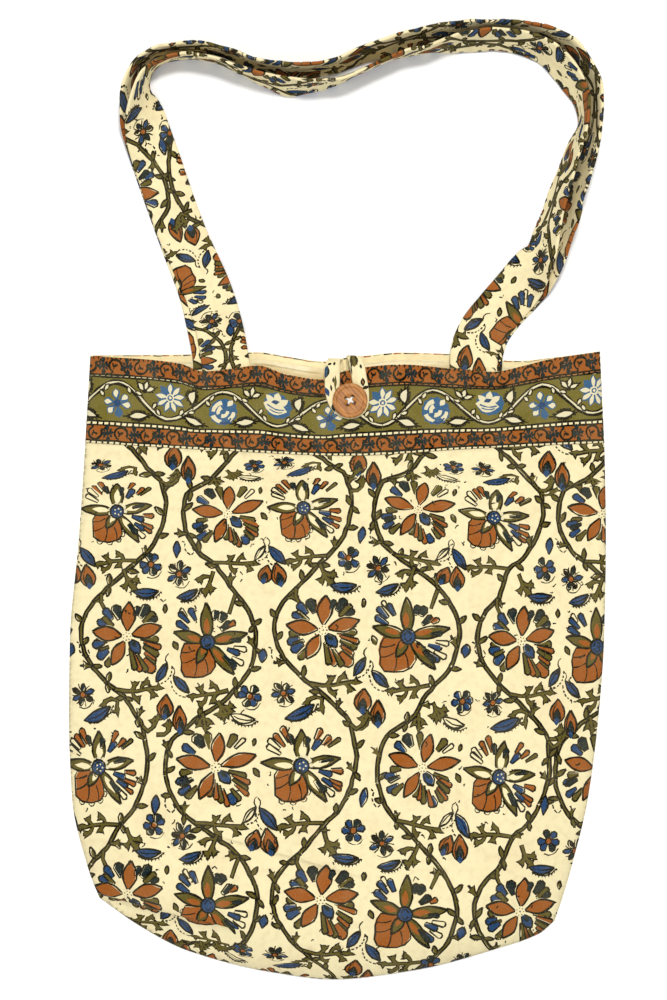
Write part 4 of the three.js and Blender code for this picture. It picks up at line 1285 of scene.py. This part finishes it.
def wood(name):
    material, tree, shader = nodes_of(name)
    place = add(tree, "ShaderNodeTexCoord").outputs["Object"]
    aslant = add(tree, "ShaderNodeMapping", Rotation=(0, 0, math.radians(50)))
    tree.links.new(place, aslant.inputs["Vector"])
    turn = add(tree, "ShaderNodeMapping", Scale=(1, 7, 1))
    tree.links.new(aslant.outputs["Vector"], turn.inputs["Vector"])
    grain = noise(tree, turn.outputs["Vector"], 120, 5)
    colour = mixed(tree, ramp(tree, grain, 0.32, 0.68), DARK_GRAIN, LIGHT_GRAIN)
    pores = ramp(tree, noise(tree, turn.outputs["Vector"], 900, 2), 0.6, 0.75, 0, 0.5)
    colour = mixed(tree, pores, colour, PORE)
    tree.links.new(colour, shader.inputs["Base Color"])
    bump = add(tree, "ShaderNodeBump", Strength=0.25, Distance=0.0002)
    tree.links.new(grain, bump.inputs["Height"])
    tree.links.new(bump.outputs["Normal"], shader.inputs["Normal"])
    set_values(shader, {"Roughness": 0.5, "Specular IOR Level": 0.35})
    return material


def yarn(name, tint):
    material, tree, shader = nodes_of(name)
    place = add(tree, "ShaderNodeTexCoord").outputs["Object"]
    fibres = ramp(tree, noise(tree, place, 2500, 2), 0.3, 0.7)
    colour = mixed(tree, fibres, (*linear(tint) * 0.8, 1), opaque(tint))
    tree.links.new(colour, shader.inputs["Base Color"])
    set_values(shader, {"Roughness": 0.85, "Sheen Weight": 0.2})
    return material


PRINTED = cotton("printed cotton", True)
BORDER = cotton("border cotton", True)
LINED = cotton("lining cotton", False, LINING_CREAM, 0.3)
LOOPED = cotton("loop cotton", True)
WOOD = wood("button wood")
WHITE_THREAD = yarn("sewing thread", THREAD_WHITE)

# Panels

GRID = 4.2
COARSE = 6.0
OUTLINE_STEP = 3.0
RINGS = (0.4, 1.2, 2.5, 4.0, 6.0, 8.0)
FIELD_LOW, FIELD_HIGH = np.array((-190, -336)), np.array((190, 42))
SPOT_ROWS = (-335, 40)
FIELD_SEED, BAND_SEED, RIM_SEED = 11, 23, 5


def steps(low, high, size):
    return np.linspace(low, high, max(int(math.ceil((high - low) / size)), 1) + 1)


def crossed(a, b):
    """Every pair of two rows of numbers."""
    return np.c_[[p.ravel() for p in np.meshgrid(a, b)]].T


def box_outline(x, y):
    """Outline of a box with points along its sides, against the clock from the lower left."""
    return np.vstack([
        np.c_[x, np.full_like(x, y[0])][:-1], np.c_[np.full_like(y, x[-1]), y][:-1],
        np.c_[x, np.full_like(x, y[-1])][::-1][:-1], np.c_[np.full_like(y, x[0]), y][::-1][:-1],
    ])


def panel_outline(t_top, size):
    """Outline of the front panel in plan, against the clock from the upper left."""
    v = steps(t_top, 2, size / SIDE_RUN)
    s = steps(0, 1, size / CROSS_RUN)
    left = np.c_[face_plan(front_rim, np.zeros_like(v), v)]
    low = np.c_[face_plan(front_rim, s, np.full_like(s, 2.0))]
    right = np.c_[face_plan(front_rim, np.ones_like(v), v)][::-1]
    top = np.c_[face_plan(front_rim, s, np.full_like(s, t_top))][::-1]
    return np.vstack([left[:-1], low[:-1], right[:-1], top[:-1]])


def clear_of_edges(s, y):
    """Which places lie further in than the rings along the rolled edges."""
    near = np.minimum(s, 1 - s) * PANEL_WIDE
    from_base = y - along(BASE, base_seam, s)[1]
    return (near > RINGS[-1] + 1) & (from_base > RINGS[-1] + 1)


def panel_spots(size):
    """Places inside the panel that follow its form, closer together at the rolled edges."""
    x, y = crossed(np.arange(FIELD_LOW[0], FIELD_HIGH[0] + 1, size), np.arange(*SPOT_ROWS, size)).T
    s, t = face_share(x, y)
    inside = np.hypot(*(np.array(face_plan(front_rim, s, t)) - (x, y))) < 0.01
    keep = inside & clear_of_edges(s, y) & (t > 1 + size / SIDE_RUN / 2)
    spots = [np.c_[x, y][keep]]
    v = steps(1.01, 1.97, size / CROSS_RUN)
    for distance in RINGS:
        for s_at in (distance / PANEL_WIDE, 1 - distance / PANEL_WIDE):
            spots.append(np.c_[face_plan(front_rim, np.full_like(v, s_at), v)])
        s = steps(0.03, 0.97, size / CROSS_RUN)
        x, y = face_plan(front_rim, s, np.full_like(s, 2.0))
        spots.append(np.c_[x, y + distance])
    return np.vstack(spots)


def crease_spots():
    """Places close beside the sharp creases."""
    spots = []
    for x0, y0, x1, y1, reach, _ in SHARP_CREASES:
        length = math.hypot(x1 - x0, y1 - y0)
        share = steps(0.04, 0.96, 3.0 / length)[:, None]
        for off in (0.4 * reach, 0, -0.4 * reach, -0.9 * reach, -1.6 * reach, -2.8 * reach):
            side = np.array([-(y1 - y0), x1 - x0]) * off / length
            spots.append(mix(np.array([(x0, y0)]), np.array([(x1, y1)]), share) + side)
    spots = np.vstack(spots)
    return spots[clear_of_edges(face_share(*spots.T)[0], spots[:, 1])]


def finer(shape, size):
    """The same outline with more points."""
    ahead = np.roll(shape, -1, axis=0)
    counts = np.maximum(np.ceil(np.hypot(*(ahead - shape).T) / size), 1).astype(int)
    return np.vstack([mix(a, b, np.arange(n)[:, None] / n) for a, b, n in zip(shape, ahead, counts)])


def drawn_in(shape):
    """A shape of the print where the cloth folds under at the lower left and curves away at the base."""
    below = beside(FOLD, *shape.T)[1]
    above_base = shape[:, 1] - base_seam(shape[:, 0])
    if below.max() < 0 and above_base.min() > BASE_DRAW_FROM:
        return shape
    shape = finer(shape, 2.0)
    share, below = beside(FOLD, *shape.T)
    below = np.maximum(below, 0)
    hides = FOLD_HIDES * (1 - share ** 4)
    seen = FOLD_LEFT * np.minimum(below, hides) + mix(FOLD_DRAWS, 1, share) * np.maximum(below - hides, 0)
    run_x, run_y = FOLD[2] - FOLD[0], FOLD[3] - FOLD[1]
    shape = shape - np.outer(below - seen, (run_y, -run_x)) / math.hypot(run_x, run_y)
    x, y = shape.T
    draw = np.interp(x, *BASE_DRAWS.T)
    under = np.maximum(BASE_DRAW_FROM - (y - base_seam(x)), 0)
    return np.c_[x, y + under * (1 - draw)]


def on_front(depth):
    def place(flat):
        s, t = face_share(flat[:, 0], flat[:, 1])
        return front_points(s, t, depth)
    return place


def level(height):
    return lambda flat: np.c_[flat, np.full(len(flat), height)]


PANEL_TOP = 1 + GAP / 2 / PANEL_DEEP
field = field_print((FIELD_LOW - PRINT_AT) / UNIT, (FIELD_HIGH - PRINT_AT) / UNIT, FIELD_SEED, BLOCKS)
shapes = [(ink, drawn_in(shape * UNIT + PRINT_AT)) for ink, shape in field.shapes]
shapes = [row for row in shapes if np.all(row[1].min(0) < FIELD_HIGH) and np.all(row[1].max(0) > FIELD_LOW)]
outline = panel_outline(PANEL_TOP, OUTLINE_STEP)
flat, triangles, top = cut_cloth(outline, np.vstack([panel_spots(GRID), crease_spots()]), shapes)
inner_spots = np.vstack([panel_spots(COARSE), crease_spots()])
points, faces, tops, laid = thick_cloth(flat, triangles, top, inner_spots, on_front(0), on_front(CLOTH))
colours = ink_colours(tops, shapes)
front_panel = new_piece("front_panel_cloth", points, faces, PRINTED, "front_panel",
                        colours, laid)
points, faces, tops, laid = thick_cloth(flat, triangles, top, inner_spots, level(0.0), level(CLOTH))
back_panel = new_piece("back_panel_cloth", points, faces[:, ::-1], PRINTED, "back_panel",
                       colours, laid)

# Bands

BAND_START = (RIM[0, 0] + BAND_SEAM[0, 0]) / 2
BAND_LONG = (RIM[-1, 0] + BAND_SEAM[-1, 0]) / 2 - BAND_START
BAND_SPLIT = 1 - GAP / 2 / BAND_TALL


def band_share(flat):
    s = (flat[:, 0] - BAND_START) / BAND_LONG
    t = -flat[:, 1] / (BAND_DEEP * UNIT)
    return np.clip(s, 0, 1), np.clip(t, 0, 1)


def band_on_front(depth):
    def place(flat):
        s, t = band_share(flat)
        return front_points(s, t, depth)
    return place


def band_on_floor(height):
    def place(flat):
        s, t = band_share(flat)
        return np.c_[np.c_[face_plan(back_rim, s, t)], np.full(len(flat), height)]
    return place


deep = BAND_DEEP * UNIT * BAND_SPLIT
x = steps(BAND_START, BAND_START + BAND_LONG, OUTLINE_STEP)
y = steps(-deep, 0, OUTLINE_STEP)
outline = box_outline(x, y)
ring = [BAND_START + d for d in RINGS] + [BAND_START + BAND_LONG - d for d in RINGS]
spots = np.vstack([crossed(x[3:-3], y[1:-1]), crossed(ring, y[1:-1])])
shapes = [(ink, shape * UNIT) for ink, shape in band_print(BAND_SEED).shapes]
shapes = [(ink, shape) for ink, shape in shapes if shape[:, 0].max() > x[0] and shape[:, 0].min() < x[-1]]
flat, triangles, top = cut_cloth(outline, spots, shapes)
points, faces, tops, laid = thick_cloth(
    flat, triangles, top, spots[::3], band_on_front(0), band_on_front(CLOTH))
colours = ink_colours(tops, shapes)
front_band = new_piece("front_band_cloth", points, faces, BORDER, "front_band",
                       colours, laid)
rim_hand = np.random.default_rng(RIM_SEED)
rim_bits = []
for start in np.arange(x[0] + 2, x[-1] - 8, 7.0):
    width = rim_hand.uniform(0.3, 1.0)
    bit = bow(start, -0.5, start + rim_hand.uniform(4, 8), -0.5, rim_hand.normal(0, 0.03), 4)
    rim_bits.append(("rust" if rim_hand.random() < 0.5 else "dark", stroke(bit, width, width * 0.6)))
points, faces, tops, laid = thick_cloth(
    flat, triangles, top, spots[::3], band_on_floor(0.0), band_on_floor(CLOTH), rim_bits)
colours = np.vstack([colours[:len(triangles)], ink_colours(tops[len(triangles):], rim_bits)])
back_band = new_piece("back_band_cloth", points, faces[:, ::-1], BORDER, "back_band",
                      colours, laid)

# Linings


def grid_sheet(shares, rows, outer, inner):
    """A closed sheet on a grid of s and t."""
    t, s = np.meshgrid(rows, shares, indexing="ij")
    s, t = s.ravel(), t.ravel()
    across, down, count = len(shares), len(rows), len(s)
    k = np.arange(count).reshape(down, across)
    a, b, c, d = (k[:-1, :-1].ravel(), k[1:, :-1].ravel(), k[1:, 1:].ravel(), k[:-1, 1:].ravel())
    faces = [np.c_[a, b, c], np.c_[a, c, d], np.c_[c, b, a] + count, np.c_[d, c, a] + count]
    edge = np.r_[k[0, ::-1], k[1:, 0], k[-1, 1:], k[-2:0:-1, -1]]
    ahead = np.roll(edge, -1)
    faces += [np.c_[ahead, edge, edge + count], np.c_[ahead, edge + count, ahead + count]]
    flat = np.c_[s * PANEL_WIDE, -t * LINING_RUN]
    return np.vstack([outer(s, t), inner(s, t)]), np.vstack(faces), np.vstack([flat, flat])


# How far from the middle and from the rim the front lining keeps clear of the back one
SLACK_ACROSS, SLACK_DOWN = 0.48, 1.985


def slack_lining(depth, above):
    """The front lining hangs a little below the front, and clear of the back lining away from the seams."""
    def place(s, t):
        points = front_points(s, t, depth + LINING_SLACK)
        inside = (np.abs(s - 0.5) < SLACK_ACROSS) & (t < SLACK_DOWN)
        points[inside, 2] = np.maximum(points[inside, 2], SEAM_HEIGHT + LINING + GAP / 2 + above)
        return points
    return place


LINING_TOP = LINING_DROP / MOUTH_DEEP
rows = np.r_[steps(LINING_TOP, 1, 0.05), 1 + steps(0.012, 1, 0.012)]
shares = (1 - np.cos(np.linspace(0, np.pi, 90))) / 2
points, faces, laid = grid_sheet(
    shares, rows, slack_lining(CLOTH + GAP, LINING / 2), slack_lining(CLOTH + GAP + LINING, 0))
front_lining = new_piece("front_lining_cloth", points, faces, LINED, "front_lining",
                         None, laid)

# The turned-in hem that stands up at the left of the mouth: its place below the rim, its rise and its ends
HEM_AT, HEM_STEP, HEM_RISE = 4.6, 0.8, 1.5
HEM_FROM, HEM_TO, HEM_FADE = -62.0, -9.0, 6.0

# The line of stitches along the hem: its place below the rim, its reach and its depth
STITCH_AT, STITCH_REACH, STITCH_DEPTH = 2.6, 0.9, 0.5


def lining_plan(s, t):
    """The back lining lies inside the back, a little in from its sides, base and rim."""
    inset = BACK_LINING_INSET / PANEL_WIDE
    x, y = face_plan(back_rim, mix(inset, 1 - inset, s), t)
    return x, np.maximum(y, along(BASE, base_seam, s)[1] + BACK_LINING_INSET)


def back_lining_at(height):
    def place(s, t):
        x, y = lining_plan(s, t)
        below_rim = back_rim(x) - LINING_DROP - y
        stitches = STITCH_DEPTH * np.exp(-((below_rim - STITCH_AT) / STITCH_REACH) ** 2)
        turned = HEM_RISE * np.clip((HEM_AT - below_rim) / HEM_STEP, 0, 1)
        ends = np.clip(np.minimum(x - HEM_FROM, HEM_TO - x) / HEM_FADE, 0, 1)
        turned *= ends * np.clip(below_rim / 2, 0, 1)
        shown = height > SEAM_HEIGHT
        return np.c_[x, y, np.full(len(x), height) + (turned - stitches) * shown]
    return place


rows = np.r_[steps(LINING_TOP, 0.25, 0.008), steps(0.3, 1, 0.05), 1 + steps(0.02, 1, 0.02)]
points, faces, laid = grid_sheet(
    shares, rows, back_lining_at(SEAM_HEIGHT + LINING), back_lining_at(SEAM_HEIGHT))
back_lining = new_piece("back_lining_cloth", points, faces, LINED, "back_lining", None, laid)

# Straps


STRAP_STEP, LOOP_STEP = 1.0, 0.5
RIBBON_ALONG, RIBBON_ACROSS = 2.4, 3.2


def unit(v):
    return v / np.linalg.norm(v, axis=1)[:, None]


def ribbon_frame(centre, outward):
    run = unit(np.gradient(centre, axis=0))
    side = unit(outward - run * np.sum(run * outward, axis=1)[:, None])
    return side, np.cross(run, side)


def handle_path(rows):
    length, even, (x, y, roll, rest) = through(rows, (2, 3), STRAP_STEP)
    tilt = np.radians(roll)
    heading = unit(np.gradient(np.c_[x, y], axis=0))
    outward = np.c_[-heading[:, 1] * np.cos(tilt), heading[:, 0] * np.cos(tilt), np.sin(tilt)]
    centre = np.c_[x, y, rest + STRAP_WIDTH / 2 * np.sin(tilt)]
    return length, even, centre, outward


def ribbon(even, centre, outward, width, thick, shapes, sway, widths=None):
    """A flat strap with round edges and both faces printed: points, triangles, their shapes, flat places."""
    side, face = ribbon_frame(centre, outward)
    end, radius = even[-1], thick / 2
    straight = width / 2 - radius
    half = straight + radius * math.pi / 2
    u = steps(0, end, RIBBON_ALONG)
    w = np.r_[-half, steps(-straight, straight, RIBBON_ACROSS), half]
    bend = straight + radius * math.pi / 4
    rows = np.r_[-bend, w[1:-1], bend]
    flat, triangles, top = cut_cloth(box_outline(u, w), crossed(u[1:-1], rows), shapes)
    at, across = flat.T
    angle = np.clip((np.abs(across) - straight) / radius, 0, math.pi / 2)
    out = np.sign(across) * (np.minimum(np.abs(across), straight) + radius * np.sin(angle))
    if widths is not None:
        out *= np.interp(at, even, widths) / width
    read = [np.c_[[np.interp(at, even, v[:, i]) for i in range(3)]].T for v in (centre, side, face)]
    middle = read[0] + read[1] * out[:, None] + read[2] * sway(at, out)[:, None]
    lift = read[2] * (radius * np.cos(angle))[:, None]
    shared = np.abs(across) > half - 1e-3
    under = np.where(shared, np.arange(len(flat)), 0)
    under[~shared] = len(flat) + np.arange(np.sum(~shared))
    points = np.vstack([middle + lift, (middle - lift)[~shared]])
    walls = []
    loop = max(border_loops(triangles), key=len)
    for a, b in zip(loop, [*loop[1:], loop[0]]):
        if not (shared[a] and shared[b]):
            walls += [t for t in ((b, a, under[a]), (b, under[a], under[b])) if len(set(t)) == 3]
    faces = np.vstack([triangles, under[triangles[:, ::-1]], walls])
    tops = np.r_[top, top, np.full(len(walls), -1)]
    return points, faces, tops, np.vstack([flat, flat[~shared]])


STRAP_UNIT, STRAP_PAST = 0.629, 120

# The print along a strap as it was cut and as it lies, where a block was set down close to the next
FRONT_PULL = [(-120, -45), (0, 33), (40, 60), (55, 72), (97, 97), (129, 125), (200, 198), (1000, 998)]
BACK_PULL = [(-120, -120), (1000, 1000)]


def strap_shapes(length, width, start, seed, pull):
    """A lengthwise strip of the field's print from a start place down, pulled to where it lies."""
    start = np.array(start, float)
    half = width / 2 / STRAP_UNIT
    ink = field_print(start - (half, length / STRAP_UNIT), start + (half, STRAP_PAST), seed, {})
    made = []
    for name, shape in ink.shapes:
        here = (shape - start) * STRAP_UNIT
        turned = np.c_[np.interp(-here[:, 1], *np.transpose(pull)), here[:, 0]]
        low, high = turned.min(0), turned.max(0)
        if high[0] > 0 and low[0] < length and high[1] > -width / 2 - 1 and low[1] < width / 2 + 1:
            made.append((name, turned))
    return made


# Unevenness of the straps, as height and size: slow and quick where they stand, and where they lie flat
SLOW_SWAY, QUICK_SWAY, FLAT_SWAY = (1.3, 70), (0.4, 22), (0.12, 24)
SWAY_REACH = 16.0


def strap(name, node, table, start, seed, pull):
    length, even, centre, outward = handle_path(table)
    shapes = strap_shapes(length, STRAP_WIDTH, start, seed, pull)

    def sway(at, across):
        upright = np.clip(np.interp(at, even, outward[:, 2]) * 1.4 - 0.4, 0, 1)
        slow = SLOW_SWAY[0] * smooth_noise(at, across * 2, SLOW_SWAY[1], seed) * np.abs(across) / SWAY_REACH
        quick = QUICK_SWAY[0] * smooth_noise(at, across * 2, QUICK_SWAY[1], seed + 1)
        lying = (1 - upright) * FLAT_SWAY[0] * smooth_noise(at, across, FLAT_SWAY[1], seed)
        return upright * (slow + quick) + lying

    points, faces, tops, laid = ribbon(even, centre, outward, STRAP_WIDTH, STRAP_THICK, shapes, sway)
    points[:, 2] = np.maximum(points[:, 2], FLOOR_CLEAR)
    piece = new_piece(name, points, faces, PRINTED, node, ink_colours(tops, shapes), laid)
    return piece, length


front_handle, front_long = strap("front_handle_strap", "front_handle", FRONT_HANDLE, (6, 140), 31, FRONT_PULL)
back_handle, back_long = strap("back_handle_strap", "back_handle", BACK_HANDLE, (-8, 60), 37, BACK_PULL)

# Button loop, and what it shows of the print and of its folded edge with painted shade: ink, place along it,
# place across it, length, width, angle
LOOP_INKS = [
    ("dark", 28, 1.7, 2.6, 1.6, 60), ("dark", 27.6, -0.9, 2.8, 1.4, 10), ("teal", 33, 3.3, 8.5, 3.8, 4),
    ("blue", 33, 3.5, 7.5, 1.5, 4), ("mist", 33, 3.0, 6.5, 0.5, 4), ("olive", 40, -1.6, 10, 1.5, 0),
    ("dark", 38.4, -0.5, 4.6, 1.1, 2), ("dark", 44, 0.5, 5, 1.2, -8), ("blue", 46.5, 2.9, 6, 2.8, -16),
    ("olive", 46.5, -2.5, 6, 1.3, -12), ("dark", 46.2, -3.2, 6, 0.7, -12), ("teal", 57, 2.4, 5, 2.4, 20),
    ("dark", 90.6, 2.4, 2.6, 4.4, 0), ("dark", 94.8, 1.5, 6.4, 2.6, 6), ("tan", 94.8, 1.5, 3.0, 0.7, 6),
    ("dark", 105.5, 1.9, 3.2, 1.5, 0), ("olive", 110.5, -1.0, 9, 5.2, 6), ("dark", 110, -2.4, 8, 1.2, 8),
    # The last dark strip, along the inner edge of the loop's right leg, is its folded edge with painted shade
    # beside it
    ("dark", 110.5, 0.5, 8, 1.2, 5), ("dark", 104.5, -3.4, 9, 0.8, 3),
]


def loop_path():
    rows = LOOP_PATH.copy()
    lying = rows[:, 2] == ON_FRONT
    clear = np.where(rows[lying, 1] < BUTTON_AT[1] + BUTTON_RADIUS / 2, UNDER_BUTTON, LOOP_CLEAR)
    rows[lying, 2] = band_height(rows[lying, 0], rows[lying, 1]) + clear + LOOP_THICK / 2
    _, even, (x, y, z, turn, widths) = through(rows, (2, 3, 4), LOOP_STEP)
    turn = np.radians(turn)
    return even, np.c_[x, y, z], np.c_[np.cos(turn), np.sin(turn), np.zeros(len(turn))], widths


even, centre, outward, widths = loop_path()
shapes = []
for ink, at, across, long, wide, turn in LOOP_INKS:
    shapes.append((ink, moved(leaf(long, wide, 0.5, 5) - (long / 2, 0), at, across, turn)))
points, faces, tops, laid = ribbon(even, centre, outward, LOOP_WIDTH, LOOP_THICK, shapes,
                                   lambda at, across: np.zeros(len(at)), widths)
new_piece("button_loop_strip", points, faces, LOOPED, "button_loop",
          ink_colours(tops, shapes), laid)

# Button and thread

seat = float(band_height(np.array([BUTTON_AT[0]]), np.array([BUTTON_AT[1]]))[0]) + BUTTON_LIFT
hole_angles = np.radians(HOLE_TURN + 90 * np.arange(4))
hole_places = HOLE_CIRCLE * np.c_[np.cos(hole_angles), np.sin(hole_angles)]
BUTTON_TOP = np.array([
    (0, 3.1), (8.6, 3.1), (9.0, 3.15), (9.35, 3.75), (9.7, 3.95), (10.6, 4.0), (11.4, 3.8), (11.8, 3.45),
    (12.0, 3.0),
])
BUTTON_SIDES, HOLE_SIDES = 96, 20
BUTTON_RINGS = (1.2, 5.2, 6.5, 7.8, 8.6, 9.0, 9.35, 9.7, 10.2, 10.6, 11.0, 11.4, 11.8)
BUTTON_UNDER = np.array([(0, 0), (10.2, 0), (11.2, 0.2), (11.8, 0.7), (12.0, 1.2)])


def button_mesh():
    outline = spot(BUTTON_RADIUS, BUTTON_SIDES)
    holes = [spot(HOLE_RADIUS, HOLE_SIDES) + place for place in hole_places]
    rings = [spot(r, max(int(r * 8), 12)) for r in BUTTON_RINGS]
    flat, triangles, _ = cut_cloth(outline, np.vstack(rings), [], holes)
    radius = np.hypot(*flat.T)
    upper = np.c_[flat, np.interp(radius, *BUTTON_TOP.T)]
    lower = np.c_[flat, np.interp(radius, *BUTTON_UNDER.T)]
    count = len(flat)
    faces = [triangles, triangles[:, ::-1] + count]
    for loop in border_loops(triangles):
        a, b = np.array(loop), np.roll(loop, -1)
        faces += [np.c_[b, a, a + count], np.c_[b, a + count, b + count]]
    return np.vstack([upper, lower]) + (*BUTTON_AT, seat), np.vstack(faces)


points, faces = button_mesh()
new_piece("wooden_button", points, faces, WOOD, "button")


def tube(path, radius, sides=8):
    """A round strand along a path, closed at both ends."""
    path = np.asarray(path, float)
    run = unit(np.gradient(path, axis=0))
    guide = np.where(np.abs(run[:, 2:3]) > 0.8, (1.0, 0, 0), (0, 0, 1.0))
    side = unit(np.cross(run, guide))
    up = np.cross(side, run)
    angle = np.arange(sides) * 2 * np.pi / sides
    out = side[:, None] * np.cos(angle)[:, None] + up[:, None] * np.sin(angle)[:, None]
    rings = path[:, None] + radius * out
    k = np.arange(len(path) * sides).reshape(len(path), sides)
    a, b = k[:-1], np.roll(k[:-1], -1, axis=1)
    c, d = k[1:], np.roll(k[1:], -1, axis=1)
    faces = [np.c_[a.ravel(), b.ravel(), d.ravel()], np.c_[a.ravel(), d.ravel(), c.ravel()]]
    first, last = k[0], k[-1]
    fan = np.arange(1, sides - 1)
    faces += [np.c_[np.full(len(fan), first[0]), first[fan + 1], first[fan]],
              np.c_[np.full(len(fan), last[0]), last[fan], last[fan + 1]]]
    return rings.reshape(-1, 3), np.vstack(faces)


def joined(parts):
    points, faces, count = [], [], 0
    for p, f in parts:
        points.append(p)
        faces.append(f + count)
        count += len(p)
    return np.vstack(points), np.vstack(faces)


def thread_mesh():
    face = BUTTON_THICK - BUTTON_DISH
    strands = []
    inner = hole_places * 0.8
    for k in (0, 1):
        a, b = inner[k], inner[k + 2]
        over = np.linspace(0, 1, 13)
        for lane in (-0.5, 0, 0.5):
            line = mix(a[None], b[None], over[:, None])
            across = np.array((-(b - a)[1], (b - a)[0])) / np.linalg.norm(b - a) * lane
            bend = np.outer(1 - np.abs(2 * over - 1) ** 3, across)
            dip = STRAND_DIP * np.abs(2 * over - 1) ** STRAND_TURN
            crest = CROSSING_RISE * k * np.exp(-((over - 0.5) / 0.25) ** 2)
            strands.append(tube(np.c_[line + bend, face - dip + STRAND_LIFT + crest], STRAND))
    bottom = GAP - BUTTON_LIFT
    for place in inner:
        upright = np.linspace(bottom / 2, face - 1.2, 3)
        strands.append(tube(np.c_[np.outer(np.ones(3), place), upright], STRAND))
    turns = np.linspace(0, 5 * 2 * np.pi, 90)
    radius = SHANK - COIL_STRAND
    rise = np.linspace(bottom + COIL_STRAND, -0.6, 90)
    strands.append(tube(np.c_[radius * np.cos(turns), radius * np.sin(turns), rise], COIL_STRAND, 6))
    points, faces = joined(strands)
    return points + (*BUTTON_AT, seat), faces


points, faces = thread_mesh()
new_piece("button_thread_strands", points, faces, WHITE_THREAD, "button_thread")

# Floor, light and camera

FLOOR_HALF, FLOOR_WHITE = 6, (0.97, 0.97, 0.97, 1)
SKY, SKY_POWER = (0.87, 0.91, 1.0, 1), 0.46


def floor():
    mesh = bpy.data.meshes.new("floor")
    far = FLOOR_HALF
    mesh.from_pydata([(-far, -far, 0), (far, -far, 0), (far, far, 0), (-far, far, 0)], [], [(0, 1, 2, 3)])
    material, _, shader = nodes_of("white floor")
    set_values(shader, {"Base Color": FLOOR_WHITE, "Roughness": 0.9, "Specular IOR Level": 0.1})
    mesh.materials.append(material)
    made = bpy.data.objects.new("floor", mesh)
    bpy.context.collection.objects.link(made)


def soft_light(name, at, size, power, colour):
    data = bpy.data.lights.new(name, "AREA")
    data.shape = "DISK"
    data.size = size
    data.energy = power
    data.color = colour
    made = bpy.data.objects.new(name, data)
    made.location = at
    made.rotation_mode = "QUATERNION"
    made.rotation_quaternion = (-Vector(at)).to_track_quat("-Z", "Y")
    bpy.context.collection.objects.link(made)


CAMERA_HEIGHT = 1.8
VIEW_HIGH, VIEW_PLANE = 0.690, 0.008
VIEW_MIDDLE = (-0.00267, 0.00161)
SENSOR = 36.0


def camera():
    data = bpy.data.cameras.new("camera")
    data.sensor_width = SENSOR
    data.lens = SENSOR * (CAMERA_HEIGHT - VIEW_PLANE) / VIEW_HIGH
    made = bpy.data.objects.new("camera", data)
    made.location = (*VIEW_MIDDLE, CAMERA_HEIGHT)
    bpy.context.collection.objects.link(made)
    bpy.context.scene.camera = made


floor()
soft_light("key", (0.15, 0.9, 2.85), 0.4, 60, (1.0, 0.985, 0.95))
soft_light("fill", (-0.5, -1.2, 2.4), 1.8, 16, (0.95, 0.97, 1.0))
world = bpy.data.worlds.new("room")
bpy.context.scene.world = world
world.use_nodes = True
set_values(world.node_tree.nodes["Background"], {"Color": SKY, "Strength": SKY_POWER})
camera()
bpy.context.scene.view_settings.view_transform = "Standard"
